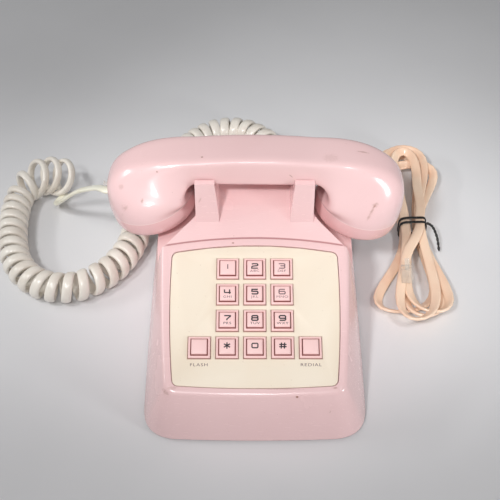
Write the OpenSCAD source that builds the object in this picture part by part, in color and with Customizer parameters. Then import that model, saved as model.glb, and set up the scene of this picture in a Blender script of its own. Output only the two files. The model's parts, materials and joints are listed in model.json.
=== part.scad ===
// Compact push-button desk telephone: sloping base with a two-pronged cradle,
// a handset lying across it, a curly handset cord and a hanked line cord.
// X runs left to right, Y from the front edge to the back, Z up from the table.

/* [Base] */
// Depth of the base from its front edge to its back edge
base_depth = 175; // [170:1:180]
// Width across the back of the base at the bottom
base_back_w = 143; // [140:1:148]
// Width across the front of the base at the bottom
base_front_w = 138.4; // [136:0.2:142]
// Height that the rubber feet lift the base
foot_h = 2; // [1.5:0.5:3]
// Radius of each rubber foot
foot_r = 7; // [5:1:9]
// Wall of the moulded housing
wall = 2.6; // [2.2:0.1:3]
// Thickness of the bottom cover
cover_t = 2.6; // [2:0.2:3]
// Slope of the face, from level
slope_deg = 20; // [18:1:22]
// Height of the face at the middle of the faceplate
face_z = 53; // [51:1:55]
// Place of the middle of the faceplate, front to back
face_y = -24; // [-26:1:-22]
// Radius of the shank of the four case screws
screw_r = 1.5; // [1.2:0.1:1.8]

/* [Bezel and faceplate] */
// Width of the faceplate at its upper corners
plate_top_w = 104.6; // [100:0.2:106]
// Width of the faceplate at its lower corners
plate_low_w = 99.4; // [96:0.2:103]
// Length of the faceplate along the slope, between its corners
plate_len = 85.8; // [84:0.2:88]
// Thickness of the faceplate
plate_t = 2; // [1.6:0.1:2.4]
// Width of the pink rim beside the faceplate
rim_w = 6.4; // [5:0.2:7]
// Step from the rim down to the neck above it
rim_step = 1.2; // [0.8:0.1:1.8]
// Gap round the faceplate
plate_gap = 0.4; // [0.3:0.1:0.6]

/* [Keys] */
// Spacing of the keys across
key_pitch_x = 17; // [16.5:0.1:17.4]
// Spacing of the rows of keys along the slope
key_pitch_y = 17.2; // [16.6:0.1:17.6]
// Side of the square key cap
key_w = 9.6; // [9:0.1:10]
// Height of a key cap above its collar
key_rise = 1.7; // [1.6:0.1:2.2]
// Outside of the raised collar round a key
collar_w = 13.5; // [13:0.1:14]
// Height of a collar above the faceplate
collar_rise = 1.3; // [0.8:0.1:1.6]
// Clearance between a key cap and its collar
key_gap = 0.35; // [0.3:0.05:0.5]
// Travel of a key
key_travel = 1.5; // [1.2:0.1:1.5]

/* [Cradle] */
// Distance from the middle to the outer face of a cradle column
column_outer = 38; // [37:0.5:39]
// Width of a column at its foot
column_w = 15; // [14:0.5:16]
// Width of the top of a prong
prong_w = 12.5; // [12:0.5:13]
// Height of the prongs' tops above the table
prong_z = 100; // [98:1:102]
// Depth of a prong, front to back, at its top
prong_t = 4.2; // [3.8:0.1:4.6]
// Radius of a hook plunger
plunger_r = 3; // [2.5:0.1:3.5]
// Travel of the hook plungers
hook_travel = 4.5; // [3:0.5:5]

/* [Handset] */
// Underside of the handle above the table
handle_z = 93.3; // [92.5:0.1:95]
// Middle of the handset, front to back
handset_y = 57.4; // [56.8:0.2:58]
// Distance that the handset lies to the right of the middle
handset_x = 0.8; // [0:0.2:2]
// Angle by which the handset lies skew in the cradle
handset_skew = 0.6; // [0:0.2:1.2]
// Width of the handle, front to back
handle_w = 30; // [28:0.5:31]
// Height of the handle at its middle
handle_h = 20.6; // [19:0.2:22]
// Distance from the handset's middle to the middle of each cup
cup_x = 69; // [68:0.5:71]
// Height of the mouthpiece's seam above the table, at its middle
mouth_z = 72.4; // [71:0.2:75]
// Height of the earpiece's seam above the table, at its middle
ear_z = 69.4; // [68:0.2:72]
// Radius of each cup at its seam
cup_r = 29; // [28:0.5:30]
// Tilt of the cups towards the handset's middle
cup_tilt = 14; // [12:1:16]
// Depth of a screw-on cap below its seam
cap_h = 12.5; // [11:0.5:13]

/* [Cords] */
// Width of the flat lead in the handset cord
lead_w = 6; // [5:0.5:6.5]
// Thickness of the flat lead in the handset cord
lead_t = 2.8; // [2.4:0.2:3]
// Outer diameter of the curls
curl_od = 21.4; // [20:0.2:22]
// Width of the cord in the curls, along the curly cord
curl_w = 5.6; // [5:0.2:6]
// Thickness of the cord in the curls
curl_t = 3.6; // [3:0.2:4]
// Width of the flat line cord
line_w = 7; // [6:0.2:7.4]
// Thickness of the flat line cord
line_t = 2.4; // [2:0.1:2.6]
// Half the spacing of the two sides of the hank at its tie
waist = 5.4; // [5:0.2:6]
// Rise from one loop of the hank to the next
loop_rise = 3.2; // [3.1:0.1:3.4]

/* [Hidden] */
$fn = 64;

pink = [0.93, 0.72, 0.75];
cream = [0.96, 0.92, 0.84];
ivory = [0.80, 0.78, 0.72];
peach = [0.91, 0.78, 0.67];

// ---- shared geometry ----
front_y = -base_depth / 2;
back_y = base_depth / 2;
cover_top = foot_h + cover_t;
touch = 0.02;                      // least clearance between faces of separate bodies

// One side of a bowed outline, from a to b, bulging by sag, short of its ends by ra and rb
function bowed_side(a, b, sag, ra, rb, steps = 5) =
    let (len = norm(b - a), n = [b.y - a.y, a.x - b.x] / len)
    [for (i = [0:steps]) let (u = (ra + (len - ra - rb) * i / steps) / len)
        a + (b - a) * u + n * sag * 4 * u * (1 - u)];

// A rounded corner at c between p and q, as a curve that they steer
function corner(p, c, q, steps = 5) =
    [for (i = [1:steps - 1]) let (u = i / steps)
        p * (1 - u) * (1 - u) + c * 2 * u * (1 - u) + q * u * u];

// Closed outline through corners (counter-clockwise) with bowed sides and round corners
function bowed(c, sags, r) =
    let (n = len(c), sides = [for (i = [0:n - 1]) bowed_side(c[i], c[(i + 1) % n], sags[i], r[i], r[(i + 1) % n])])
    [for (i = [0:n - 1]) each concat(sides[i],
        corner(sides[i][len(sides[i]) - 1], c[(i + 1) % n], sides[(i + 1) % n][0]))];

// Four corners of a symmetric outline: half widths and places of its low and high ends
function trapezium(low_w, low_y, high_w, high_y) =
    [[-low_w, low_y], [low_w, low_y], [high_w, high_y], [-high_w, high_y]];

// The sloping face's own frame: x across, y up the slope, z out of the face
module on_face() {
    translate([0, face_y, face_z]) rotate([slope_deg, 0, 0]) children();
}
function face_point(t, n = 0) =
    [face_y + t * cos(slope_deg) - n * sin(slope_deg), face_z + t * sin(slope_deg) + n * cos(slope_deg)];

// ---- faceplate, rim and housing outlines ----
plate_mid = -6.1;                  // middle of the faceplate's corners along the slope
plate_top_bow = 5.0;
plate_low_bow = 1.8;
plate_side_bow = 1.6;
plate_corner = 3.5;
plate_top_y = plate_mid + plate_len / 2;
plate_low_y = plate_mid - plate_len / 2;
function plate_outline(grow) = bowed(
    trapezium(plate_low_w / 2 + grow, plate_low_y - grow, plate_top_w / 2 + grow, plate_top_y + grow),
    [plate_low_bow, plate_side_bow, plate_top_bow, plate_side_bow],
    [for (i = [0:3]) plate_corner + grow * 0.8]);
plate_drop = 0.4;                  // top of the faceplate below the rim
ledge_w = 3.2;                     // width of the ledge under the faceplate's edge
ledge_t = 2.8;
plate_bottom = -plate_drop - plate_t;

neck_t = 63.2;                     // where the columns' feet start, up the slope
deck_y = 79;                       // back edge of the deck behind the columns
deck_z = 82;
function base_outline(inset) = bowed(
    trapezium(base_front_w / 2 - inset, front_y + 2.2 + inset, base_back_w / 2 - inset, back_y - 0.5 - inset),
    [2.2, 0.8, 0.5, 0.8], [21 - inset, 21 - inset, 12 - inset / 2, 12 - inset / 2]);
face_low_y = plate_low_y - plate_low_bow * 0.3 - rim_w + 0.4;
rim_top_y = plate_top_y + rim_w - 0.9 + plate_top_bow;
function face_outline(inset) = bowed(
    trapezium(plate_low_w / 2 + rim_w - 0.6 - inset, face_low_y + inset,
              plate_top_w / 2 + rim_w + 1.6 - inset, neck_t + 4 - inset),
    [2.0, 1.6, 0.2, 1.6], [for (i = [0:3]) 9 - inset]);

// Solid wedge of the housing, or its inside when inset is the wall
module wedge(inset) {
    low = inset > 0 ? -1 : foot_h;
    lid = inset > 0 ? -ledge_t + plate_bottom : 0;
    hull() {
        translate([0, 0, low]) linear_extrude(1) polygon(base_outline(inset));
        on_face() {
            translate([0, 0, lid - 3.4]) linear_extrude(0.2) polygon(face_outline(inset));
            translate([0, 0, lid - 1.5]) linear_extrude(0.2) polygon(face_outline(inset + 0.8));
            translate([0, 0, lid - 0.5]) linear_extrude(0.2) polygon(face_outline(inset + 2.0));
            translate([0, 0, lid - 0.2]) linear_extrude(0.2) polygon(face_outline(inset + 3.4));
        }
        translate([-base_back_w / 2 + 11 + inset, deck_y - inset - 4, deck_z - lid_drop(inset) - 1])
            cube([base_back_w - 22 - 2 * inset, 4, 1]);
    }
}
function lid_drop(inset) = inset > 0 ? wall + 2.4 : 0;

// ---- handset frame and its cups ----
bend_x = 38.5;                     // where the handle ends and the bend to a cup starts
function seam_z(side) = side < 0 ? mouth_z : ear_z;
// Height of the inner bend's centre, in the plane of the cup's seam
function pivot_z(side) = seam_z(side) + (cup_x - bend_x) * tan(cup_tilt);
cup_reach = (cup_x - bend_x) / cos(cup_tilt);
module in_handset() {
    translate([handset_x, handset_y, 0]) rotate([0, 0, -handset_skew]) children();
}
// Frame of a cup: origin in the middle of its seam, z down its axis
module in_cup(side) {
    in_handset() translate([side * cup_x, 0, seam_z(side)]) rotate([180, 0, 0])
        rotate([0, -side * cup_tilt, 0]) children();
}

// ---- housing ----
shoulder_gap = 6;                  // space under the caps
shoulder_rise = 40;                // height of the dish's wall above the seam
shoulder_r = 45.5;                 // radius of the dish at the top of its wall
shoulder_low_r = 34;               // and at its floor
shoulder_run = 46;                 // length of its straight wall, from the circle outwards and forwards
// Outline of the dish: a circle drawn out along its tangent at 45 degrees
function dish_outline(r, side) = let (a = 90 + 45 * side, b = side * 2 * atan(shoulder_run / r))
    concat([for (i = [0:48]) let (u = a - b - side * 0.01 - (side * 360 - b) * i / 48) r * [cos(u), sin(u)]],
        [r * [cos(a), sin(a)] + shoulder_run * [side, 1] / sqrt(2)]);
// Dish under one end of the handset, outside the column; grow thickens it for the inner wall
module shoulder(side, grow = 0) {
    top_r = shoulder_r + grow;
    reach = base_back_w - column_outer + grow;
    intersection() {
        in_cup(side) translate([0, 0, -shoulder_rise])
            linear_extrude(shoulder_rise + cap_h + shoulder_gap + grow, scale = (shoulder_low_r + grow) / top_r)
                polygon(dish_outline(top_r, side));
        translate([side > 0 ? column_outer - grow : -base_back_w, front_y + 20, deck_z / 3])
            cube([reach, base_depth, deck_z]);
    }
}

column_foot_y = 33.6;
prong_front_y = column_foot_y + 3.8;
saddle_front = prong_front_y + prong_t;
saddle_back = 2 * handset_y - saddle_front + 0.2;
saddle_z = handle_z - 0.3;
function column_profile() = [
    [column_foot_y - 6, deck_z - 24], [column_foot_y - 1.2, deck_z - 8], [prong_front_y - 0.2, prong_z - 1.2],
    [prong_front_y + 1, prong_z], [saddle_front - 0.9, prong_z], [saddle_front, prong_z - 0.9],
    [saddle_front, saddle_z + 0.8], [saddle_front + 0.8, saddle_z],
    [saddle_back - 0.8, saddle_z], [saddle_back, saddle_z + 0.8],
    [saddle_back, prong_z - 0.9], [saddle_back + 0.9, prong_z], [saddle_back + prong_t - 1, prong_z],
    [saddle_back + prong_t, prong_z - 1.2], [saddle_back + prong_t + 2, deck_z - 3], [deck_y - 2, deck_z - 24]];
// One cradle column with its front and back prong
module column(side) {
    inner_foot = column_outer - column_w;
    inner_top = column_outer - prong_w;
    intersection() {
        rotate([90, 0, 90]) translate([0, 0, -column_outer - 5])
            linear_extrude(2 * column_outer + 10) polygon(column_profile());
        translate([0, deck_y + 20, 0]) rotate([90, 0, 0]) linear_extrude(120) polygon([
            [side * inner_foot, deck_z - 24], [side * inner_foot, deck_z - 6], [side * inner_top, prong_z - 1],
            [side * (inner_top + 1), prong_z + 0.1], [side * (column_outer - 1), prong_z + 0.1],
            [side * column_outer, prong_z - 1], [side * column_outer, deck_z - 24]]);
    }
}

boss_r = 3.6;
boss_front_x = base_front_w / 2 - boss_r - 11.6;
boss_back_x = base_back_w / 2 - boss_r - 7.9;
boss_front_y = front_y + boss_r + 33.9;
boss_back_y = back_y - boss_r - 29.9;
boss_places = [[-boss_front_x, boss_front_y], [boss_front_x, boss_front_y],
    [-boss_back_x, boss_back_y], [boss_back_x, boss_back_y]];
plunger_x = 31;
plunger_gap = 0.3;
jack_z = 12;                       // middle of the two sockets in the back wall
jack_w = 11;
jack_h = 12;
jack_depth = 12;
cord_jack_x = 30;
line_jack_x = 48;
jack_face_y = back_y - 1.2;

module housing() color(pink) {
    difference() {
        union() {
            difference() {
                wedge(0);
                difference() {
                    wedge(wall);
                    for (side = [-1, 1]) shoulder(side, wall);
                    for (p = boss_places) translate([p.x, p.y, cover_top]) cylinder(r = boss_r, h = 90);
                }
            }
            difference() {
                for (side = [-1, 1]) column(side);
                wedge(wall);
            }
        }
        // the neck lies a step below the rim
        on_face() translate([0, 0, -rim_step]) linear_extrude(deck_z / 2) polygon(concat(
            [[-base_back_w, base_depth], [-base_back_w, rim_top_y - plate_top_bow]],
            [for (i = [-6:6]) let (x = i / 6 * (plate_top_w / 2 + rim_w + 7.3))
                [x, rim_top_y - plate_top_bow * pow(x / (plate_top_w / 2 + 3.7), 2)]],
            [[base_back_w, rim_top_y - plate_top_bow], [base_back_w, base_depth]]));
        for (side = [-1, 1]) shoulder(side);
        // seat and window for the faceplate
        on_face() translate([0, 0, plate_bottom]) linear_extrude(20) polygon(plate_outline(plate_gap));
        on_face() translate([0, 0, plate_bottom - 10]) linear_extrude(20) polygon(plate_outline(-ledge_w));
        // bores of the hook plungers
        for (side = [-1, 1]) translate([side * plunger_x, handset_y, deck_z - 30])
            cylinder(r = plunger_r + plunger_gap, h = 60);
        // pilot holes for the case screws
        for (p = boss_places) translate([p.x, p.y, cover_top - 1]) cylinder(r = screw_r - 0.2, h = 16);
        // windows for the two sockets
        for (x = [cord_jack_x, line_jack_x])
            translate([x - jack_w / 2 - 0.2, back_y - 8, jack_z - jack_h / 2 - 0.2])
                cube([jack_w + 0.4, 20, jack_h + 0.4]);
    }
    // the columns stand again over the step that was cut for the neck
    difference() {
        for (side = [-1, 1]) column(side);
        for (side = [-1, 1]) translate([side * plunger_x, handset_y, deck_z - 30])
            cylinder(r = plunger_r + plunger_gap, h = 60);
        wedge(wall);
    }
}

// ---- bottom cover, feet and screws ----
foot_x = base_front_w / 2 - foot_r - 8.2;
foot_front_y = front_y + foot_r + 12.5;
foot_back_y = back_y - foot_r - 8.5;
foot_places = [[-foot_x, foot_front_y], [foot_x, foot_front_y], [-foot_x, foot_back_y], [foot_x, foot_back_y]];
foot_seat = 0.8;
sound_x = -34;
sound_y = 40;
module base_plate() color([0.25, 0.24, 0.25]) {
    difference() {
        union() {
            translate([0, 0, foot_h]) linear_extrude(cover_t) polygon(base_outline(wall + cover_gap));
            // stand-offs for the main board and the post for the hook spring
            for (p = board_holes) translate([p.x, p.y, cover_top]) cylinder(r = 3, h = board_z - cover_top);
            translate([0, handset_y, cover_top]) cylinder(r = spring_r - 1.4, h = 8);
            // rim that holds the ringer
            translate([sound_x, sound_y, cover_top]) difference() {
                cylinder(r = ringer_r + 2, h = 4);
                cylinder(r = ringer_r + 0.3, h = 5);
            }
            // blocks under the two sockets
            for (x = [cord_jack_x, line_jack_x])
                translate([x - jack_w / 2, jack_face_y - jack_depth, cover_top])
                    cube([jack_w, jack_depth - 3, jack_z - jack_h / 2 - cover_top]);
        }
        for (p = foot_places) translate([p.x, p.y, foot_h - 1]) cylinder(r = foot_r + 0.1, h = 1 + foot_seat);
        for (p = boss_places) translate([p.x, p.y, 0]) {
            cylinder(r = screw_r + 0.2, h = 20);
            cylinder(r = screw_head_r + 0.3, h = foot_h + 1.4);
        }
        for (p = board_holes) translate([p.x, p.y, cover_top]) cylinder(r = 1, h = 20);
        for (i = [-3:3]) translate([sound_x + i * 4, sound_y, foot_h - 1])
            translate([-0.9, -sound_len(i) / 2, 0]) cube([1.8, sound_len(i), cover_t + 2]);
    }
}
function sound_len(i) = 2 * sqrt(pow(16, 2) - pow(4 * i, 2));
screw_head_r = 2.8;
cover_gap = 2.4;                     // how far the cover stays inside the housing's wall at the bottom

module rubber_feet() color([0.12, 0.12, 0.12])
    for (p = foot_places) translate([p.x, p.y, 0]) rotate_extrude()
        polygon([[0, 0], [foot_r - 1.2, 0], [foot_r - 0.2, 0.8], [foot_r, foot_h + foot_seat], [0, foot_h + foot_seat]]);

module case_screws() color("silver")
    for (p = boss_places) translate([p.x, p.y, foot_h + 0.2]) difference() {
        union() {
            cylinder(r = screw_head_r, h = 1.2);
            cylinder(r = screw_r - 0.2 - touch, h = 14);
        }
        translate([-0.35, -2.2, -1]) cube([0.7, 4.4, 1.5]);
        translate([-2.2, -0.35, -1]) cube([4.4, 0.7, 1.5]);
    }

// ---- faceplate and keypad ----
key_mid = 0.3;                     // middle of the key rows along the slope
function key_place(column, row) = [column * key_pitch_x, key_mid + (1.5 - row) * key_pitch_y];
KEY_PLACES = [
    key_place(-1, 0), key_place(0, 0), key_place(1, 0),
    key_place(-1, 1), key_place(0, 1), key_place(1, 1),
    key_place(-1, 2), key_place(0, 2), key_place(1, 2),
    key_place(-1, 3), key_place(0, 3), key_place(1, 3),
    key_place(-2, 3), key_place(2, 3)];

module square_bar(w, h) translate([-w / 2, -w / 2, 0]) cube([w, w, h]);
// Square bar whose upper edges are bevelled by c
module bevelled_bar(w, h, c) {
    intersection() {
        rotate([90, 0, 0]) translate([0, 0, -w / 2]) linear_extrude(w)
            polygon([[-w / 2, 0], [w / 2, 0], [w / 2, h - c], [w / 2 - c, h], [c - w / 2, h], [-w / 2, h - c]]);
        rotate([90, 0, 90]) translate([0, 0, -w / 2]) linear_extrude(w)
            polygon([[-w / 2, 0], [w / 2, 0], [w / 2, h - c], [w / 2 - c, h], [c - w / 2, h], [-w / 2, h - c]]);
    }
}

collar_gap = 0.3;
module faceplate() color(cream) on_face() translate([0, 0, plate_bottom]) difference() {
    linear_extrude(plate_t) polygon(plate_outline(0));
    for (p = KEY_PLACES) translate([p.x, p.y, -1]) square_bar(collar_w + 2 * collar_gap, plate_t + 2);
}

surround_t = 1.6;
surround_top = plate_bottom - 0.1;
surround_low = surround_top - surround_t;
collar_top = -plate_drop + collar_rise;
key_top = collar_top + key_rise;
surround_w = 4 * key_pitch_x + 20;
surround_l = 3 * key_pitch_y + 14.6;
post_x = surround_w / 2 - 4;
flange_w = key_w + 2.6;
flange_t = 1.2;
mat_top = surround_low - 0.2 - flange_t - 4;
mat_t = 1;
dome_h = 2.1;
board_t = 1.6;
stem_r = 2;
stem_low = mat_top - mat_t + key_travel + 0.3;
POSTS = [[-post_x, -12.3], [post_x, -12.3], [-post_x, 27.7], [post_x, 27.7]];

module key_surround() color(pink) on_face() {
    difference() {
        union() {
            translate([-surround_w / 2, key_mid - surround_l / 2, surround_low])
                cube([surround_w, surround_l, surround_t]);
            for (p = KEY_PLACES) translate([p.x, p.y, surround_low])
                bevelled_bar(collar_w, collar_top - surround_low, 0.5);
            for (p = POSTS) translate([p.x, key_mid + p.y, mat_top - mat_t])
                cylinder(r = 3, h = surround_low - mat_top + mat_t + 0.5);
        }
        for (p = KEY_PLACES) translate([p.x, p.y, surround_low - 1]) square_bar(key_w + 2 * key_gap, 20);
        for (p = POSTS) translate([p.x, key_mid + p.y, mat_top - mat_t - 1]) cylinder(r = 1, h = 6);
    }
}

// One key: crowned cap, retaining flange and stem
module key(p) color(pink) on_face() translate([p.x, p.y, 0]) {
    intersection() {
        translate([0, 0, surround_low - 0.6]) bevelled_bar(key_w, key_top - surround_low + 0.6, 0.8);
        rotate([90, 0, 0]) translate([0, key_top - 30, -key_w]) cylinder(r = 30, h = 2 * key_w, $fn = 128);
    }
    translate([0, 0, surround_low - 0.2 - flange_t]) square_bar(flange_w, flange_t);
    translate([0, 0, stem_low]) cylinder(r = stem_r, h = surround_low - flange_t - stem_low);
}
module key_1() key(KEY_PLACES[0]);
module key_2() key(KEY_PLACES[1]);
module key_3() key(KEY_PLACES[2]);
module key_4() key(KEY_PLACES[3]);
module key_5() key(KEY_PLACES[4]);
module key_6() key(KEY_PLACES[5]);
module key_7() key(KEY_PLACES[6]);
module key_8() key(KEY_PLACES[7]);
module key_9() key(KEY_PLACES[8]);
module key_star() key(KEY_PLACES[9]);
module key_0() key(KEY_PLACES[10]);
module key_hash() key(KEY_PLACES[11]);
module key_flash() key(KEY_PLACES[12]);
module key_redial() key(KEY_PLACES[13]);

module key_mat() color([0.35, 0.35, 0.37]) on_face() difference() {
    union() {
        translate([-surround_w / 2, key_mid - surround_l / 2, mat_top - mat_t])
            cube([surround_w, surround_l, mat_t]);
        for (p = KEY_PLACES) translate([p.x, p.y, mat_top - 0.5])
            cylinder(r1 = stem_r + 2.6, r2 = stem_r + 1.2, h = dome_h + 0.5);
    }
    for (p = KEY_PLACES) translate([p.x, p.y, mat_top - mat_t - 1]) cylinder(r = stem_r + 0.3, h = 10);
    for (p = POSTS) translate([p.x, key_mid + p.y, mat_top - mat_t - 1]) cylinder(r = 3.2, h = 4);
}

module keypad_board() color([0.16, 0.38, 0.22]) on_face()
    translate([0, key_mid, mat_top - mat_t - board_t - touch]) difference() {
        translate([-surround_w / 2, -surround_l / 2, 0]) cube([surround_w, surround_l, board_t]);
        for (p = POSTS) translate([p.x, p.y, -1]) cylinder(r = 1.3, h = 4);
    }

module keypad_screws() color("silver") on_face()
    for (p = POSTS) translate([p.x, key_mid + p.y, mat_top - mat_t - board_t - 2 * touch - 1]) {
        cylinder(r = 2.2, h = 1);
        cylinder(r = 0.95, h = 1 + board_t + 4);
    }

// ---- electronics ----
board_z = 10;                      // underside of the main board
board_w = 72;
board_l = 70;
board_low_y = front_y + 37.5;
board_hole_in = 6;                 // from the board's edges to its holes
board_holes = [for (y = [board_hole_in, board_l - board_hole_in], side = [-1, 1])
    [side * (board_w / 2 - board_hole_in), board_low_y + y]];
module main_board() color([0.16, 0.38, 0.22]) {
    difference() {
        translate([-board_w / 2, board_low_y, board_z]) cube([board_w, board_l, board_t]);
        for (p = board_holes) translate([p.x, p.y, board_z - 1]) cylinder(r = 1.3, h = 4);
    }
    // line transformer, relay and capacitors
    translate([0, board_low_y, board_z + board_t]) {
        translate([-24, 30, 0]) cube([20, 17, 14]);
        translate([4, 34, 0]) cube([16, 10, 10]);
        for (i = [0:2]) translate([-14 + 13 * i, 14, 0]) cylinder(r = 4, h = 9 - i);
        translate([12, 52, 0]) cube([8, 10, 3]);
    }
}

ringer_r = 17;
ringer_h = 12;
module ringer() color([0.2, 0.2, 0.2]) translate([sound_x, sound_y, cover_top]) difference() {
    rotate_extrude() polygon([[0, 0], [ringer_r, 0], [ringer_r, ringer_h - 1.5], [ringer_r - 1.5, ringer_h], [0, ringer_h]]);
    translate([0, 0, ringer_h - 3]) cylinder(r = 3, h = 5);
    for (a = [0:60:300]) rotate([0, 0, a]) translate([9, 0, ringer_h - 3]) cylinder(r = 1.5, h = 5);
}

spring_r = 4.5;
spring_wire = 0.6;
spring_turns = 6;
bail_bar_z = 60;
bail_bar_t = 5;
bail_foot_z = 34;
// Two plungers on one bar with a foot for the spring
module hook_bail() color([0.88, 0.86, 0.82]) {
    for (side = [-1, 1]) translate([side * plunger_x, handset_y, bail_bar_z]) rotate_extrude()
        polygon([[0, 0], [plunger_r, 0], [plunger_r, saddle_z - bail_bar_z - 0.8],
                 [plunger_r - 0.8, saddle_z - bail_bar_z], [0, saddle_z - bail_bar_z]]);
    translate([-plunger_x - 3.4, handset_y - 3, bail_bar_z]) cube([2 * plunger_x + 6.8, 6, bail_bar_t]);
    translate([-3, handset_y - 2, bail_foot_z]) cube([6, 4, bail_bar_z - bail_foot_z + 1]);
    translate([0, handset_y, bail_foot_z - 1.6]) cylinder(r = spring_r + 1, h = 2);
}

// Compression spring as one wound wire with straight ends
spring_z0 = cover_top + spring_wire;
spring_z1 = bail_foot_z - 1.6 - spring_wire - touch;
spring_steps = 8 * spring_turns;
function spring_point(i) = let (a = 360 * i / 8)
    [spring_r * cos(a), handset_y + spring_r * sin(a), spring_z0 + (spring_z1 - spring_z0) * i / spring_steps];
module hook_spring() color("silver")
    tube([for (i = [0:spring_steps]) spring_point(i)],
         [for (i = [0:spring_steps]) [cos(45 * i), sin(45 * i), 0]], 2 * spring_wire, 2 * spring_wire, 6);

module hook_switch() color([0.2, 0.2, 0.2]) {
    translate([8, handset_y - 5, cover_top]) cube([12, 10, 18]);
    translate([9, handset_y - 2, cover_top + 17]) cube([2, 4, 8]);
}

// ---- modular sockets and plugs ----
plug_w = 7.7;
plug_h = 6.6;
plug_in = 9;
plug_out = 2.5;
// Socket block: its mouth faces +X, centred on the origin
module socket() difference() {
    translate([-jack_depth, -jack_w / 2, -jack_h / 2]) cube([jack_depth, jack_w, jack_h]);
    translate([-plug_in - 0.6, -plug_w / 2 - 0.3, -plug_h / 2 - 0.3]) cube([plug_in + 2, plug_w + 0.6, plug_h + 0.6]);
    translate([-plug_in - 0.6, -1.9, 0]) cube([plug_in + 2, 3.8, plug_h / 2 + 1.7]);
}
// Plug seated in a socket, cord leaving along +X, release tab on top
module plug() {
    difference() {
        translate([-plug_in, -plug_w / 2, -plug_h / 2]) cube([plug_in + plug_out, plug_w, plug_h]);
        for (i = [-1.5:1:1.5]) translate([-plug_in - 1, i * 1.2 - 0.25, plug_h / 2 - 1.4]) cube([4, 0.5, 2]);
    }
    // the tab springs up from the nose and leans out over the cord
    rotate([90, 0, 0]) translate([0, 0, -1.6]) linear_extrude(3.2)
        polygon([[-plug_in + 3.4, plug_h / 2 - 0.3], [-plug_in + 4.4, plug_h / 2 - 0.3],
                 [0.2, plug_h / 2 + 0.4], [plug_out + 2.6, plug_h / 2 + 3.4],
                 [plug_out + 2.2, plug_h / 2 + 4.2], [-0.6, plug_h / 2 + 1.3]]);
}
module cord_jack() color([0.3, 0.3, 0.3]) translate([cord_jack_x, jack_face_y, jack_z]) rotate([0, 0, 90]) socket();
module line_jack() color([0.3, 0.3, 0.3]) translate([line_jack_x, jack_face_y, jack_z]) rotate([0, 0, 90]) socket();

// ---- handset ----
fan_steps = 13;
ring_sides = 28;
cup_out = cup_reach + cup_r;       // from the inner bend to the outer edge of the seam
end_reach = cup_out * cos(cup_tilt) + 0.6;
handle_top = handle_z + handle_h;
arch = 2;                          // drop of the handle's top from its middle to the bends
end_curve = 2.26;                  // fullness of the ends' outer curve; 2 is an ellipse
handle_square = 7;                 // squareness of the handle's section; 2 is an ellipse
function mix(a, b, u) = a + (b - a) * u;
function ease(u) = let (v = max(0, min(1, u))) v * v * (3 - 2 * v);
function signed_pow(v, e) = sign(v) * pow(abs(v), e);
// Distance from the inner bend's centre to the outside, in direction a from level
function outer_reach(a, side) = let (n = end_curve, top = handle_top - arch - pivot_z(side)) a >= 0
    ? pow(pow(cos(a) / end_reach, n) + pow(sin(a) / top, n), -1 / n)
    : mix(end_reach, cup_out, -a / cup_tilt);
function inner_reach(a, side) =
    mix(cup_reach - cup_r, handle_z - pivot_z(side), ease((a + cup_tilt) / (90 + cup_tilt)));
// Section of the handset: b half width, n squareness, k narrowing towards the outside
function section(lo, hi, b, n, k) = [for (i = [0:ring_sides - 1]) let (
    a = 360 * i / ring_sides,
    r = signed_pow(cos(a), 2 / n),
    s = signed_pow(sin(a), 2 / n),
    narrow = 1 - k * pow((r + 1) / 2, 1.6))
    [(lo + hi) / 2 + r * (hi - lo) / 2, b * s * narrow]];
function fan_half_w(a) = mix(handle_w / 2, cup_r, pow(ease((90 - a) / 92), 0.8));
function fan_narrow(a) = let (top = mix(cup_r, handle_w / 2 - 0.6, ease((a + cup_tilt) / 42)))
    1 - top / fan_half_w(a);
function fan_square(a) = mix(2, handle_square, ease((a + cup_tilt) / 84));
// Ring of points at angle a round the bend on the left; side mirrors it to the right
function fan_ring(a, side) =
    [for (q = section(inner_reach(a, side), outer_reach(a, side), fan_half_w(a), fan_square(a), fan_narrow(a)))
        [side * (bend_x + q.x * cos(a)), q.y, pivot_z(side) + q.x * sin(a)]];
function handle_ring(x) =
    [for (q = section(handle_z, handle_top - arch * pow(x / bend_x, 2), handle_w / 2, handle_square,
        fan_narrow(90))) [x, q.y, q.x]];
fan_angles = [for (i = [0:fan_steps]) -cup_tilt + (90 + cup_tilt) * i / fan_steps];
HANDSET_RINGS = concat(
    [for (a = fan_angles) fan_ring(a, -1)],
    [for (x = [-26, -13, 0, 13, 26]) handle_ring(x)],
    [for (i = [fan_steps:-1:0]) fan_ring(fan_angles[i], 1)]);

// Solid through a list of rings that have the same number of points
module through_rings(rings) {
    n = len(rings[0]);
    m = len(rings);
    polyhedron(
        points = [for (r = rings) each r],
        faces = concat(
            [for (j = [0:m - 2], i = [0:n - 1]) let (a = j * n + i, b = j * n + (i + 1) % n) each
                [[a, b, b + n], [a, b + n, a + n]]],
            [[for (i = [n - 1:-1:0]) i]],
            [[for (i = [0:n - 1]) (m - 1) * n + i]]));
}

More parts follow.
